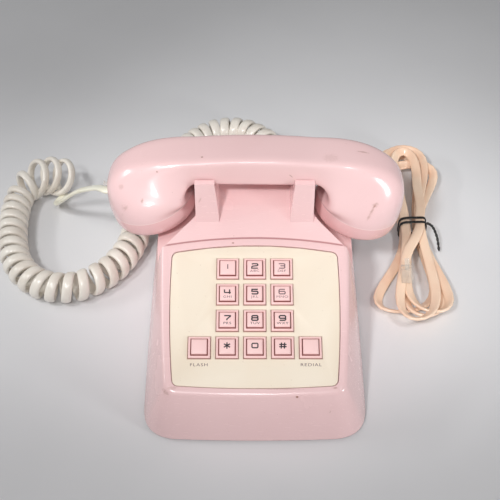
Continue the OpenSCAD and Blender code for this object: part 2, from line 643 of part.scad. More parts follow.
bore_ear_r = 24;
bore_mouth_r = 12;
bore_depth = 9;
weight_l = 46;
weight_w = 12;
weight_h = 7;
duct_z = handle_z + 4;
handset_jack_z = mouth_z + 2.8;
handset_jack_x = 1.6 - cup_x - cup_r * cos(cup_tilt);
module handset_body() color(pink) difference() {
    in_handset() through_rings(HANDSET_RINGS);
    in_cup(1) translate([0, 0, -bore_depth]) cylinder(r = bore_ear_r, h = bore_depth + 5);
    in_cup(-1) translate([0, 0, -bore_depth]) cylinder(r = bore_mouth_r, h = bore_depth + 5);
    // duct through the handle, with a shaft down into each cup
    in_handset() {
        translate([-58, -weight_w / 2 - 0.3, duct_z]) cube([116, weight_w + 0.6, weight_h + 0.6]);
        for (side = [-1, 1]) translate([side * 58, 0, seam_z(side)]) cylinder(r = 6, h = duct_z + 4 - seam_z(side));
        // pocket of the modular socket in the left end
        translate([handset_jack_x - 10, -jack_w / 2 - 0.1, handset_jack_z - jack_h / 2 - 0.1])
            cube([10 + jack_depth + 0.1, jack_w + 0.2, jack_h + 0.2]);
    }
}

// Screw-on cap over a cup, holes holes through its face
module cap(side, holes) in_cup(side) difference() {
    rotate_extrude($fn = 96) polygon([
        [0, touch], [cup_r - 0.1, touch], [cup_r, 0.5], [cup_r, cap_h - 5], [cup_r - 0.6, cap_h - 2.4],
        [cup_r - 2.2, cap_h - 0.7], [cup_r - 4.6, cap_h], [0, cap_h - 1.4]]);
    translate([0, 0, -1]) cylinder(r = cup_r - 2.8, h = 1 + cap_h - 3.2);
    for (i = [0:holes - 1]) rotate([0, 0, 360 * i / holes]) translate([9, 0, 0]) cylinder(r = 1.4, h = cap_h + 2, $fn = 24);
    cylinder(r = 1.4, h = cap_h + 2, $fn = 24);
}
module ear_cap() color(pink) cap(1, 6);
module mouth_cap() color(pink) cap(-1, 8);

module capsule(side, r) in_cup(side) translate([0, 0, -bore_depth + 2]) difference() {
    cylinder(r = r, h = bore_depth - 2 + cap_h - 3.5);
    for (a = [0:90:270]) rotate([0, 0, a]) translate([r * 0.5, 0, bore_depth + cap_h - 7]) cylinder(r = 1.5, h = 10);
}
module receiver() color([0.6, 0.6, 0.62]) capsule(1, bore_ear_r - 2);
module transmitter() color([0.6, 0.6, 0.62]) capsule(-1, bore_mouth_r - 0.6);
module handset_weight() color([0.5, 0.5, 0.52]) in_handset()
    translate([-weight_l / 2, -weight_w / 2, duct_z + touch]) cube([weight_l, weight_w, weight_h]);
module at_handset_jack() in_handset() translate([handset_jack_x, 0, handset_jack_z]) rotate([0, 0, 180]) children();
module handset_jack() color([0.3, 0.3, 0.3]) at_handset_jack() socket();
module handset_plug() color([0.85, 0.85, 0.85]) at_handset_jack() plug();

// ---- cords ----
// Frame of a tube at ring i: across its width and along its thickness
function tangent(p, i) = let (v = p[min(i + 1, len(p) - 1)] - p[max(i - 1, 0)]) v / norm(v);
function across(p, up, i) = let (v = cross(tangent(p, i), up[i])) v / norm(v);
function tube_ring(p, up, i, w, t, n) = let (s = across(p, up, i), v = cross(s, tangent(p, i)))
    [for (k = [0:n - 1]) let (a = 360 * (k + 0.5) / n) p[i] + s * (w / 2) * cos(a) + v * (t / 2) * sin(a)];
// Closed tube of n sides along the points p; up turns its flat side
module tube(p, up, w, t, n) {
    m = len(p);
    polyhedron(
        points = [for (i = [0:m - 1]) each tube_ring(p, up, i, w, t, n)],
        faces = concat(
            [for (j = [0:m - 2], k = [0:n - 1]) let (a = j * n + k, b = j * n + (k + 1) % n) each
                [[a, b, b + n], [a, b + n, a + n]]],
            [for (k = [1:n - 2]) [0, k + 1, k]],
            [for (k = [1:n - 2]) [(m - 1) * n, (m - 1) * n + k, (m - 1) * n + k + 1]]));
}
// Smooth curve through points p at place u, counted in points
function curve(p, u) = let (
    i = max(0, min(floor(u), len(p) - 2)), f = u - i,
    a = i > 0 ? p[i - 1] : 2 * p[0] - p[1], b = p[i], c = p[i + 1],
    d = i < len(p) - 2 ? p[i + 2] : 2 * p[i + 1] - p[i])
    0.5 * (2 * b + (c - a) * f + (2 * a - 5 * b + 4 * c - d) * f * f + (3 * b - 3 * c + d - a) * f * f * f);
function spread(p, n) = [for (i = [0:n]) curve(p, i * (len(p) - 1) / n)];

// The same with straight ends, 1 mm long, along the directions a and b
function straight_ends(p, n, a, b) =
    concat([p[0] - a], spread(p, n), [p[len(p) - 1] + b]);
along = [0, 1, 0];

curl_z = curl_od / 2 + 0.2;
curl_lift = 8;                     // the first curl hangs from the lead by this much
// Handset lead: from the plug in the handset, down to the table
lead_out = [-cos(handset_skew), sin(handset_skew), 0];
lead_start = [handset_x, handset_y, handset_jack_z] + lead_out * (plug_out - handset_jack_x);
LEAD_ROUTE = [
    lead_start + lead_out, [-103, 60, 74.2], [-109, 65, 69], [-119.5, 76, 58.4], [-128.5, 87, 46.8],
    [-137, 98, 34.8], [-142.4, 107, 24.4], [-144, 113, curl_z + curl_lift]];
// Axis of the curly cord: x, y and the number of curls passed at each point
CURL_ROUTE = [
    [-144, 119, 0], [-144, 131, 1], [-149, 142.8, 2], [-161, 148, 3], [-173, 143.2, 4], [-179, 131, 5],
    [-180, 110, 7], [-177.5, 90, 9], [-174, 71, 11], [-167, 53, 13], [-155, 39, 15], [-139, 30.5, 17],
    [-121, 31, 19], [-106, 40, 21], [-94.5, 55, 23], [-88, 72.5, 25], [-86, 91, 27], [-84, 109, 29],
    [-80, 127, 31], [-73, 143.5, 33], [-64, 159, 35], [-54, 174, 37], [-43, 186.5, 39], [-28, 195.5, 41],
    [-10.5, 196, 43], [5, 187, 45], [18, 172.5, 47], [27.5, 155.5, 49], [31, 137, 51]];
BASE_LEAD_ROUTE = [
    [31, 130, curl_z], [31, 124, 11], [30.4, 115, 11.6], [30, 105, 12],
    [cord_jack_x, jack_face_y + plug_out + 1, jack_z]];

curl_r = (curl_od - curl_t) / 2;
curl_rings = 8;                    // rings in each curl
curl_points = len(CURL_ROUTE);
curls = CURL_ROUTE[curl_points - 1][2];
curl_axis = [for (p = CURL_ROUTE) [p.x, p.y, curl_z + curl_lift * ease(1 - p.z / 2)]];
// Place along the route and number of curls passed, ring by ring
CURL_STEPS = concat(
    [for (k = [0:curl_points - 2]) let (n = curl_rings * (CURL_ROUTE[k + 1][2] - CURL_ROUTE[k][2]))
        for (j = [0:n - 1]) [k + j / n, CURL_ROUTE[k][2] + j / curl_rings]],
    [[curl_points - 1, curls]]);
function axis_side(u) = let (v = curve(curl_axis, u + 0.01) - curve(curl_axis, u - 0.01)) [v.y, -v.x, 0] / norm(v);
function curl_out(q) = axis_side(q[0]) * cos(360 * q[1]) + [0, 0, 1] * sin(360 * q[1]);
function curl_grow(q) = curl_r * ease(min(q[1], curls - q[1]));
CURL_POINTS = concat(
    [for (k = [2, 1]) curl_axis[0] - [0, 2.5 * k, 0]],
    [for (q = CURL_STEPS) curve(curl_axis, q[0]) + curl_out(q) * curl_grow(q)],
    [for (k = [1, 2]) curl_axis[curl_points - 1] - [0, 3 * k, 0]]);
CURL_UPS = let (a = curl_out(CURL_STEPS[0]), b = curl_out([curl_points - 1, curls]))
    concat([a, a], [for (q = CURL_STEPS) curl_out(q)], [b, b]);

level = [0, 0, 1];
module handset_lead() color(ivory) let (p = straight_ends(LEAD_ROUTE, 22, lead_out, along))
    tube(p, [for (q = p) level], lead_w, lead_t, 8);
module handset_curls() color(ivory) tube(CURL_POINTS, CURL_UPS, curl_w, curl_t, 6);
module base_lead() color(ivory) let (p = straight_ends(BASE_LEAD_ROUTE, 12, -along, -along))
    tube(p, [for (q = p) level], lead_w, lead_t, 8);
module base_plug() color([0.85, 0.85, 0.85]) translate([cord_jack_x, jack_face_y, jack_z]) rotate([0, 0, 90]) plug();

// Hank: loops drawn in at the tie. Each row is a loop's reach, lean and bulge
hank_mid = [117, 88];
UPPER_LOBES = [[90, -2, 11], [90, -2, 11], [82, 2, 12], [68, 8, 15], [82, 2, 12], [76, 1, 5]];
LOWER_LOBES = [[76, -17, 16], [76, -17, 16], [82, 0, 9], [81, 6, 10], [90, -8, 9]];
hank_start = 318;                  // turned angle at which the line lead joins the hank
hank_stop = 360 * 5 + 60;          // and at which its last end comes out of the loops
hank_low = line_t / 2 + 1;         // height of the lowest loop
loop_rings = 24;
function lobe(turned) = cos(turned) >= 0
    ? UPPER_LOBES[floor((turned + 90) / 360)] : LOWER_LOBES[floor(turned / 360)];
// Loops passed: each rises to the next one at the left side of the tie
function climb(turned) = let (n = floor((turned - 450) / 360))
    turned < 450 ? 0 : n + ease((turned - 600 - 360 * n) / 60);
function hank_point(turned) = let (l = lobe(turned), s = cos(turned), c = s * s)
    [hank_mid.x + sin(turned) * (waist + 2.6 * l[2] * c) + l[1] * c, hank_mid.y + l[0] * s,
     hank_low + loop_rise * climb(turned)];
hank_count = round((hank_stop - hank_start) / 360 * loop_rings);
HANK_LOOPS = [for (i = [0:hank_count]) hank_point(hank_start + (hank_stop - hank_start) * i / hank_count)];
// The last end crosses over the tie and lies on top with its plug
hank_top = hank_low + 4 * loop_rise;
HANK_TAIL = concat([HANK_LOOPS[hank_count]], [for (p = [
    [124.5, 104, 0], [122.4, 92, 0], [121.2, 83, 0.1], [116, 70, 0.8], [110, 58, 1.8], [106.6, 48, 2.2],
    [106, 42, 2.2]]) [p.x, p.y, hank_top + p.z]]);
HANK_POINTS = concat(HANK_LOOPS, [for (i = [1:14]) curve(HANK_TAIL, i / 2)], [HANK_TAIL[7] - along]);
hank_out = (HANK_POINTS[1] - HANK_POINTS[0]) / norm(HANK_POINTS[1] - HANK_POINTS[0]);
module line_hank() color(peach) tube(HANK_POINTS, [for (q = HANK_POINTS) level], line_w, line_t, 6);

LINE_LEAD_ROUTE = [
    [line_jack_x, jack_face_y + plug_out + 1, jack_z], [48, 98, 11.2], [51, 110, 6], [60, 121, 2.4], [74, 127, 2.2],
    [90, 131, 2.2], [100, 140, 2.2], [102, 150, 2.2], HANK_POINTS[0] - hank_out];
module line_lead() color(peach) let (p = straight_ends(LINE_LEAD_ROUTE, 24, along, hank_out))
    tube(p, [for (q = p) level], line_w, line_t, 8);
module line_lead_plug() color([0.85, 0.85, 0.85])
    translate([line_jack_x, jack_face_y, jack_z]) rotate([0, 0, 90]) plug();
module line_plug() color([0.85, 0.85, 0.85])
    translate(HANK_TAIL[7] - along * (1 + plug_out)) rotate([0, 0, 90]) plug();

tie_h = hank_top + line_t / 2;
tie_gap = 0.7;
tie_t = 1;
module tie_band(y) translate([hank_mid.x, y, 0]) difference() {
    translate([-waist - line_w / 2 - tie_gap - tie_t, -1.1, 0])
        cube([2 * (waist + tie_gap + tie_t) + line_w, 2.2, tie_h + tie_gap + tie_t]);
    translate([-waist - line_w / 2 - tie_gap, -3, hank_low - line_t / 2 - tie_gap])
        cube([2 * (waist + tie_gap) + line_w, 6, tie_h + 2 * tie_gap - hank_low + line_t / 2]);
}
module twist_tie() color([0.1, 0.1, 0.1]) {
    tie_band(hank_mid.y - 2.2);
    tie_band(hank_mid.y + 2.2);
    // the twisted tail
    let (x = hank_mid.x + waist + line_w / 2 + tie_gap + tie_t - 0.2, y = hank_mid.y,
         p = spread([[x, y - 2.2, 14], [x + 4, y - 4, 13], [x + 7, y - 10, 9], [x + 8, y - 18, 4]], 9))
        tube(p, [for (q = p) level], 1.6, 1.4, 6);
}

// Least gaps of the wound cords to themselves, measured between points on their surfaces
function ring_gap(a, b) = min([for (p = a, q = b) norm(p - q)]);
CURL_TUBE = [for (i = [0:len(CURL_POINTS) - 1]) tube_ring(CURL_POINTS, CURL_UPS, i, curl_w, curl_t, 6)];
curl_gap = min([for (i = [2:len(CURL_TUBE) - 11], k = [6:10]) ring_gap(CURL_TUBE[i], CURL_TUBE[i + k])]);
HANK_FINE = spread(HANK_POINTS, 4 * (len(HANK_POINTS) - 1));
hank_gap = min([for (i = [0:len(HANK_FINE) - 1], k = [i + 24:len(HANK_FINE) - 1])
    let (d = HANK_FINE[k] - HANK_FINE[i]) max(norm([d.x, d.y]) - line_w * cos(30), abs(d.z) - line_t)]);
spring_gap = (spring_z1 - spring_z0) / spring_turns - 2 * spring_wire;
echo(curl_gap = curl_gap, hank_gap = hank_gap, spring_gap = spring_gap);

housing();
base_plate();
rubber_feet();
case_screws();
faceplate();
key_surround();
key_1();
key_2();
key_3();
key_4();
key_5();
key_6();
key_7();
key_8();
key_9();
key_star();
key_0();
key_hash();
key_flash();
key_redial();
key_mat();
keypad_board();
keypad_screws();
main_board();
ringer();
hook_bail();
hook_spring();
hook_switch();
cord_jack();
line_jack();
handset_body();
ear_cap();
mouth_cap();
receiver();
transmitter();
handset_weight();
handset_jack();
handset_plug();
handset_lead();
handset_curls();
base_lead();
base_plug();
line_lead_plug();
line_lead();
line_hank();
line_plug();
twist_tie();
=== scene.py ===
"""Looks of a compact push-button desk telephone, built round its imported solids.

All sizes below are millimetres and are named once; Blender's metres come from MM.
X runs left to right, Y from the front edge to the back, Z up from the table.
"""

import json
from math import atan, copysign, cos, degrees, pi, radians, sin, sqrt, tan

import bmesh
import bpy
from mathutils import Matrix, Vector


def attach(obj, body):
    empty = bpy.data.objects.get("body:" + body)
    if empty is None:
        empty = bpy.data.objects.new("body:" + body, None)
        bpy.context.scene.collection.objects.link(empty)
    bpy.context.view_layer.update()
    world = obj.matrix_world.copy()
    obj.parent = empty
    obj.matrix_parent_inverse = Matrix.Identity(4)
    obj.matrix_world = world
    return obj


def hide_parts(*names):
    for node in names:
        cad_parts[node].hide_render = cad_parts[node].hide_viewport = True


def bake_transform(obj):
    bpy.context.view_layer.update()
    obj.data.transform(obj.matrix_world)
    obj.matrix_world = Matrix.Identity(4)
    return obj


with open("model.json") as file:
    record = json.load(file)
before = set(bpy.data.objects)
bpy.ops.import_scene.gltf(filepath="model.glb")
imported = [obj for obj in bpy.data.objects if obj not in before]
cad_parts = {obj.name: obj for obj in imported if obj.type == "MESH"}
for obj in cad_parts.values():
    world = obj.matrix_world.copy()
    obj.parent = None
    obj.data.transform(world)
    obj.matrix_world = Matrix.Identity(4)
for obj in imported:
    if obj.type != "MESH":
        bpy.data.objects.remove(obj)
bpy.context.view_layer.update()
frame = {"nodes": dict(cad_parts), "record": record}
MM = 0.001


# --- dimensions
BASE_DEPTH, BASE_BACK_W, BASE_FRONT_W = 175.0, 143.0, 138.4
FOOT_H, WALL, COVER_TOP = 2.0, 2.6, 4.6
SLOPE, FACE_Z, FACE_Y = 20.0, 53.0, -24.0
PLATE_TOP_W, PLATE_LOW_W, PLATE_LEN, PLATE_T = 104.6, 99.4, 85.8, 2.0
PLATE_MID, PLATE_GAP, PLATE_DROP, PLATE_CORNER = -6.1, 0.4, 0.4, 3.5
PLATE_BOWS = (1.8, 1.6, 5.0, 1.6)          # low, right, top, left
RIM_W, RIM_STEP, RIM_HALF = 6.4, 1.2, 56
LEDGE_W, LEDGE_T = 3.2, 2.8
NECK_T, DECK_Y, DECK_Z = 63.2, 79.0, 82.0
KEY_PITCH_X, KEY_PITCH_Y, KEY_MID = 17.0, 17.2, 0.3
KEY_W, KEY_GAP, COLLAR_W = 9.6, 0.35, 13.5
COLLAR_RISE, KEY_RISE, KEY_CROWN = 1.3, 1.7, 30.0
COLUMN_OUTER, COLUMN_W, COLUMN_FOOT_Y = 38.0, 15.0, 33.6
PRONG_W, PRONG_Z, PRONG_T = 12.5, 100.0, 4.2
PLUNGER_X, PLUNGER_R, PLUNGER_GAP = 31.0, 3.0, 0.3
HANDLE_Z, HANDLE_W, HANDLE_H = 93.3, 30.0, 20.6
HANDSET_X, HANDSET_Y, HANDSET_SKEW = 0.8, 57.4, 0.6
CUP_X, CUP_R, CUP_TILT, CAP_H = 69.0, 29.0, 14.0, 12.5
MOUTH_Z, EAR_Z = 72.4, 69.4
BEND_X, ARCH, END_CURVE, HANDLE_SQUARE = 38.5, 2.0, 2.26, 7.0
SHOULDER_GAP, SHOULDER_RISE, SHOULDER_R, SHOULDER_RUN = 6.0, 40.0, 45.5, 46.0
SHOULDER_LOW_R = 34.0
JACK_Z, JACK_W, JACK_H, JACK_DEPTH, PLUG_OUT = 12.0, 11.0, 12.0, 12.0, 2.5
CORD_JACK_X, LINE_JACK_X = 30.0, 48.0
LEAD_W, LEAD_T = 6.0, 2.8
CURL_OD, CURL_W, CURL_T = 21.4, 5.6, 3.6
LINE_W, LINE_T, WAIST, LOOP_RISE = 7.0, 2.4, 5.4, 3.2
BOSSES, BOSS_R = [(-54, -50), (54, -50), (-60, 54), (60, 54)], 3.6

BACK_Y = BASE_DEPTH / 2
JACK_FACE_Y = BACK_Y - 1.2
PLATE_TOP_Y = PLATE_MID + PLATE_LEN / 2
PLATE_LOW_Y = PLATE_MID - PLATE_LEN / 2
PLATE_BOTTOM = -PLATE_DROP - PLATE_T
RIM_TOP_Y = PLATE_TOP_Y + RIM_W - 0.9      # at its ends; the bow comes on top
COLLAR_TOP = -PLATE_DROP + COLLAR_RISE
KEY_TOP = COLLAR_TOP + KEY_RISE
HANDSET_JACK_Z = MOUTH_Z + 2.8
HANDSET_JACK_X = 1.6 - CUP_X - CUP_R * cos(radians(CUP_TILT))
CURL_Z = CURL_OD / 2 + 0.2
UP, ALONG, HERE = Vector((0, 0, 1)), Vector((0, 1, 0)), Matrix.Identity(4)
FACE_AT = (0, FACE_Y, FACE_Z)
FACE_UP = Vector((0, -sin(radians(SLOPE)), cos(radians(SLOPE))))
FACE_RISE = Vector((0, cos(radians(SLOPE)), sin(radians(SLOPE))))
ON_FACE = Matrix.Translation(FACE_AT) @ Matrix.Rotation(radians(SLOPE), 4, "X")
IN_HANDSET = (Matrix.Translation((HANDSET_X, HANDSET_Y, 0))
              @ Matrix.Rotation(radians(-HANDSET_SKEW), 4, "Z"))


def seam_z(side):
    return MOUTH_Z if side < 0 else EAR_Z


def in_cup(side):
    """Origin in the middle of a cup's seam, Z down its axis."""
    return (IN_HANDSET @ Matrix.Translation((side * CUP_X, 0, seam_z(side)))
            @ Matrix.Rotation(pi, 4, "X") @ Matrix.Rotation(radians(-side * CUP_TILT), 4, "Y"))


def rim_top(x):
    """Upper edge of the rim above the faceplate, up the slope. It also takes a Value."""
    return RIM_TOP_Y + PLATE_BOWS[2] * (1 - (x / RIM_HALF) ** 2)


# --- camera
CAMERA_AT = (-0.003, -0.3758, 0.4887)
CAMERA_DOWN = 42.6                         # degrees from straight down


def linked(name, data):
    """A new object that belongs to the scene."""
    thing = bpy.data.objects.new(name, data)
    bpy.context.scene.collection.objects.link(thing)
    return thing


camera = linked("camera", bpy.data.cameras.new("camera"))
camera.location = CAMERA_AT
camera.rotation_euler = (radians(CAMERA_DOWN), 0, 0)
camera.data.lens, camera.data.sensor_width = 64.8, 36
bpy.context.scene.camera = camera


# --- shader writing
def operator(operation):
    return lambda value, other: value.paint.maths(operation, value, other)


class Value:
    """A socket of a material. Python's operators on it add Math nodes."""

    __add__ = __radd__ = operator("ADD")
    __mul__ = __rmul__ = operator("MULTIPLY")
    __sub__, __truediv__, __pow__ = operator("SUBTRACT"), operator("DIVIDE"), operator("POWER")

    def __init__(self, paint, socket):
        self.paint, self.socket = paint, socket

    def __rsub__(self, other):
        return self.paint.maths("SUBTRACT", other, self)

    def __abs__(self):
        return self.paint.maths("ABSOLUTE", self)


class Paint:
    """A procedural material: one Principled shader and what feeds it."""

    def __init__(self, name, colour, roughness, **plain):
        self.material = bpy.data.materials.new(name)
        self.material.use_nodes = True
        self.tree = self.material.node_tree
        self.shader = self.tree.nodes["Principled BSDF"]
        self.set("Base Color", (*colour, 1))
        self.set("Roughness", roughness)
        for socket, value in plain.items():
            self.set(socket.replace("_", " "), value)
        self.here = self.node("TexCoord", output="Object")

    def node(self, kind, settings=(), inputs=(), output=0):
        """Adds any node: its settings first, then the values or links of its sockets."""
        added = self.tree.nodes.new("ShaderNode" + kind)
        for key, value in dict(settings).items():
            setattr(added, key, value)
        for key, value in dict(inputs).items():
            self.feed(added.inputs[key], value)
        return Value(self, added.outputs[output])

    def feed(self, socket, value):
        if isinstance(value, Value):
            self.tree.links.new(value.socket, socket)
        elif value is not None:
            socket.default_value = value

    def set(self, name, value):
        self.feed(self.shader.inputs[name], value)

    def maths(self, operation, a, b=None):
        return self.node("Math", {"operation": operation}, {0: a, 1: b})

    def vectors(self, operation, a, b=None, output="Value"):
        return self.node("VectorMath", {"operation": operation}, {0: a, 1: b}, output)

    def noise(self, size, detail=2.0, rough=0.5, stretch=(1, 1, 1)):
        """Cloudy noise from 0 to 1 whose blobs are about size mm across."""
        place = self.node("Mapping", {}, {"Vector": self.here, "Scale": stretch})
        return self.node("TexNoise", {}, {"Vector": place, "Scale": 1 / (size * MM),
                                          "Detail": detail, "Roughness": rough})

    def band(self, value, low, high):
        """0 below low, 1 above high, and smooth between them."""
        return self.node("MapRange", {"interpolation_type": "SMOOTHSTEP"},
                         {"Value": value, "From Min": low, "From Max": high})

    def under(self, value, low, high):
        """1 below low, 0 above high, and smooth between them."""
        return 1 - self.band(value, low, high)

    def mix(self, share, a, b):
        """Colour a where share is 0 and colour b where it is 1."""
        a, b = ((*colour, 1) if isinstance(colour, tuple) else colour for colour in (a, b))
        return self.node("Mix", {"data_type": "RGBA"}, {0: share, 6: a, 7: b}, output=2)

    def offset(self, origin):
        """The way from origin, a place in mm, to where the paint is, in metres."""
        return self.vectors("SUBTRACT", self.here, Vector(origin) * MM, "Vector")

    def along(self, direction, origin=FACE_AT):
        """How far a place lies from origin along direction, in mm."""
        return self.vectors("DOT_PRODUCT", self.offset(origin), Vector(direction) / MM)

    def covered(self, colour, roughness, height, strength, depth):
        """Sets what changes over the surface; the bump's depth is in mm."""
        self.set("Base Color", colour)
        self.set("Roughness", roughness)
        bump = {"Strength": strength, "Distance": depth * MM, "Height": height}
        self.set("Normal", self.node("Bump", {}, bump))
        return self


def tone(red, green, blue):
    """Linear colour of a paint named by its screen colour, 0 to 255."""
    return tuple(((c / 255 + 0.055) / 1.055) ** 2.4 if c > 10 else c / 255 / 12.92
                 for c in (red, green, blue))


# --- mesh tools
def mesh_of(name, bm):
    mesh = bpy.data.meshes.new(name)
    bm.to_mesh(mesh)
    bm.free()
    return mesh


def solid(name, bm):
    return linked(name, mesh_of(name, bm))


def finished(piece, paint, body, slot, replaces=(), smooth=40):
    """Gives a piece its paint, its body and the nodes that it stands for. The slot is not used."""
    mesh = piece.data
    mesh.materials.clear()
    mesh.materials.append(paint.material)
    mesh.shade_smooth()
    mesh.set_sharp_from_angle(angle=radians(smooth))
    if body:
        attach(piece, body)
    if replaces:
        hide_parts(*replaces)
    return piece


def made(name, bm, *looks):
    """Turns a bmesh into a finished piece."""
    return finished(solid(name, bm), *looks)


def gathered(parts):
    """One bmesh that holds all the parts."""
    whole = bmesh.new()
    for part in parts:
        mesh = mesh_of("part", part)
        whole.from_mesh(mesh)
        bpy.data.meshes.remove(mesh)
    return whole


def welded(mesh, reach):
    """A mesh as a bmesh in which points less than reach apart are one."""
    bm = bmesh.new()
    bm.from_mesh(mesh)
    bmesh.ops.remove_doubles(bm, verts=bm.verts[:], dist=reach * MM)
    return bm


def flattened(bm, angle, edges=None):
    """Dissolves the edges between faces that lie nearly in one plane."""
    bmesh.ops.dissolve_limit(bm, angle_limit=radians(angle), verts=bm.verts[:],
                             edges=edges or bm.edges[:])


def sharp(bm, angle):
    return [e for e in bm.edges if e.calc_face_angle(0) > radians(angle)]


def moved(bm, matrix):
    bmesh.ops.transform(bm, matrix=matrix, verts=bm.verts[:])
    return bm


def evaluated(thing):
    """The mesh of an object after its modifiers, or of a text as it is laid out."""
    graph = bpy.context.evaluated_depsgraph_get()
    return bpy.data.meshes.new_from_object(thing.evaluated_get(graph))


def rounded(bm, edges, width, segments):
    bmesh.ops.bevel(bm, geom=edges, offset=width * MM, offset_type="OFFSET", affect="EDGES",
                    segments=segments, profile=0.5, material=-1, clamp_overlap=True)


def ring(bm, points):
    """A closed ring of edges through points in metres, returned as its edges."""
    verts = bmesh.ops.create_circle(bm, segments=len(points), radius=MM)["verts"]
    for vert, point in zip(verts, points):
        vert.co = point
    return list(dict.fromkeys(edge for vert in verts for edge in vert.link_edges))


def lofted(rings, capped=True):
    """A skin through rings of points, bridged one to the next."""
    bm = bmesh.new()
    first = last = ring(bm, rings[0])
    for points in rings[1:]:
        following = ring(bm, points)
        bmesh.ops.bridge_loops(bm, edges=last + following)
        last = following
    if capped:
        for end in (first, last):
            bmesh.ops.edgeloop_fill(bm, edges=end)
    bmesh.ops.recalc_face_normals(bm, faces=bm.faces[:])
    return bm


def tangents(path):
    last = len(path) - 1
    return [(path[min(i + 1, last)] - path[max(i - 1, 0)]).normalized() for i in range(last + 1)]


def squared(angle, square):
    """A point of a unit circle drawn out towards a square; 2 leaves it round."""
    c, s = cos(angle), sin(angle)
    return copysign(abs(c) ** (2 / square), c), copysign(abs(s) ** (2 / square), s)


def oval(width, thick, sides, square=2.0):
    """Section of a cord: points of a squared ellipse, in metres."""
    turns = (squared(2 * pi * (i + 0.5) / sides, square) for i in range(sides))
    return [(c * width * MM / 2, s * thick * MM / 2) for c, s in turns]


def swept(path, ups, section):
    """A closed tube along path. section(i) gives ring i; ups turns its second axis."""
    rings = []
    for i, (point, forward) in enumerate(zip(path, tangents(path))):
        side = forward.cross(ups[i]).normalized()
        top = side.cross(forward)
        rings.append([point + side * a + top * b for a, b in section(i)])
    return lofted(rings)


def length_of(path):
    return sum((b - a).length for a, b in zip(path, path[1:]))


def ease(u):
    u = max(0.0, min(1.0, u))
    return u * u * (3 - 2 * u)


def mixed(a, b, u):
    return a + (b - a) * u


def curve(points, u):
    """Smooth curve through points at place u, counted in points."""
    last = len(points) - 1
    i = max(0, min(int(u), last - 1))
    f = u - i
    b, c = points[i], points[i + 1]
    a = points[i - 1] if i else 2 * b - c
    d = points[i + 2] if i < last - 1 else 2 * c - b
    return 0.5 * (2 * b + (c - a) * f + (2 * a - 5 * b + 4 * c - d) * f * f
                  + (3 * b - 3 * c + d - a) * f * f * f)


def spread(points, count):
    last = len(points) - 1
    return [curve(points, i * last / count) for i in range(count + 1)]


def as_vectors(points):
    return [Vector(p) for p in points]


def in_mm(points):
    return [p * MM for p in points]


# --- paints
PINK = tone(242, 206, 206)
PINK_KEY = tone(250, 211, 208)
# the caps' pink, deeper than the body's: partly their own tone, partly painted shade
PINK_CAP_SHADED = tone(239, 194, 194)
SCUFF = tone(168, 122, 108)
# deep red-brown laid into the keypad's gaps: dirt and painted shade
GAP_DIRT_AND_SHADE = tone(168, 84, 80)


def mark(paint, centre, direction, half_length, half_width):
    """A scuff or speck round a place in mm, ragged at its edge, from 0 to 1."""
    run = paint.along(Vector(direction).normalized(), centre)
    far = paint.vectors("LENGTH", paint.offset(centre)) / MM
    out = run * run * (1 / half_length ** 2 - 1 / half_width ** 2) + far * far / half_width ** 2
    return paint.under(out + paint.noise(1.2, 2) * 1.4, 0.7, 1.5)


def moulded(name, colour, roughness, wear=1.0, grain=0.25, coat=0.35, marks=()):
    """Glossy moulded plastic with faint clouding, scuffs, specks and fine scratches."""
    paint = Paint(name, colour, roughness, Coat_Weight=coat, Coat_Roughness=0.1)
    clouds = paint.noise(38, 3)
    cloudy = tuple(c * f for c, f in zip(colour, (0.94, 0.90, 0.90)))
    shade = paint.mix(paint.band(clouds, 0.35, 0.7) * 0.3, colour, cloudy)
    streaks = paint.band(paint.noise(5.5, 3, 0.6, (0.35, 1.5, 0.6)), 0.66, 0.74)
    patches = paint.band(paint.noise(21, 1), 0.52, 0.66)
    specks = paint.band(paint.noise(1.1, 0), 0.80, 0.86) * patches
    worn = streaks * patches * 0.45 + specks * 0.6
    for *place, share in marks:
        worn = worn + mark(paint, place[:3], place[3:6], *place[6:]) * (share / wear)
    paint.shade = paint.mix(paint.maths("MINIMUM", worn * wear, 1), shade, SCUFF)
    scratches = paint.band(paint.noise(0.5, 2, 0.6, (0.08, 1.0, 0.3)), 0.62, 0.7)
    rough = clouds * 0.10 + (roughness - 0.05) + worn * 0.25 + scratches * 0.05
    return paint.covered(paint.shade, rough, paint.noise(0.9, 2), grain * 0.25, 0.05)


def from_key(paint):
    """Distance in mm from the nearest place of the key grid, measured square."""
    columns = paint.along((1, 0, 0)) / KEY_PITCH_X + 0.5
    rows = (paint.along(FACE_RISE) - KEY_MID) / KEY_PITCH_Y
    off_x, off_y = (abs(paint.maths("FRACT", places) - 0.5) * pitch
                    for places, pitch in ((columns, KEY_PITCH_X), (rows, KEY_PITCH_Y)))
    return paint.maths("MAXIMUM", off_x, off_y)


def overlaid(paint, overlay, share):
    """A colour laid over a paint where share is above 0, for dirt, painted shade and painted
    highlights.
    """
    paint.set("Base Color", paint.mix(paint.maths("MINIMUM", share, 1), paint.shade, overlay))
    return paint


def keycap_plastic():
    """Dirt and painted shade darken a cap's sides, down in the gap to its collar."""
    paint = moulded("rose_keycap", PINK_KEY, 0.42, wear=0.2, coat=0.08)
    # dirt and painted shade: the cap's sides darken towards the collar
    sides = paint.under(paint.along(FACE_UP), COLLAR_TOP + 0.3, KEY_TOP - 0.45)
    return overlaid(paint, GAP_DIRT_AND_SHADE, sides * 0.9)


def collar_plastic():
    """Dirt and painted shade darken the opening of a collar and its foot."""
    paint = moulded("rose_collar", PINK_KEY, 0.46, wear=0.2, coat=0.06)
    edge = KEY_W / 2 + KEY_GAP
    # dirt and painted shade: darker round the key's opening and at the collar's foot
    opening = paint.under(from_key(paint), edge + 0.18, edge + 0.5)
    foot = paint.under(paint.along(FACE_UP), -PLATE_DROP + 0.15, -PLATE_DROP + 0.8)
    return overlaid(paint, GAP_DIRT_AND_SHADE, opening * 0.85 + foot * 0.6)


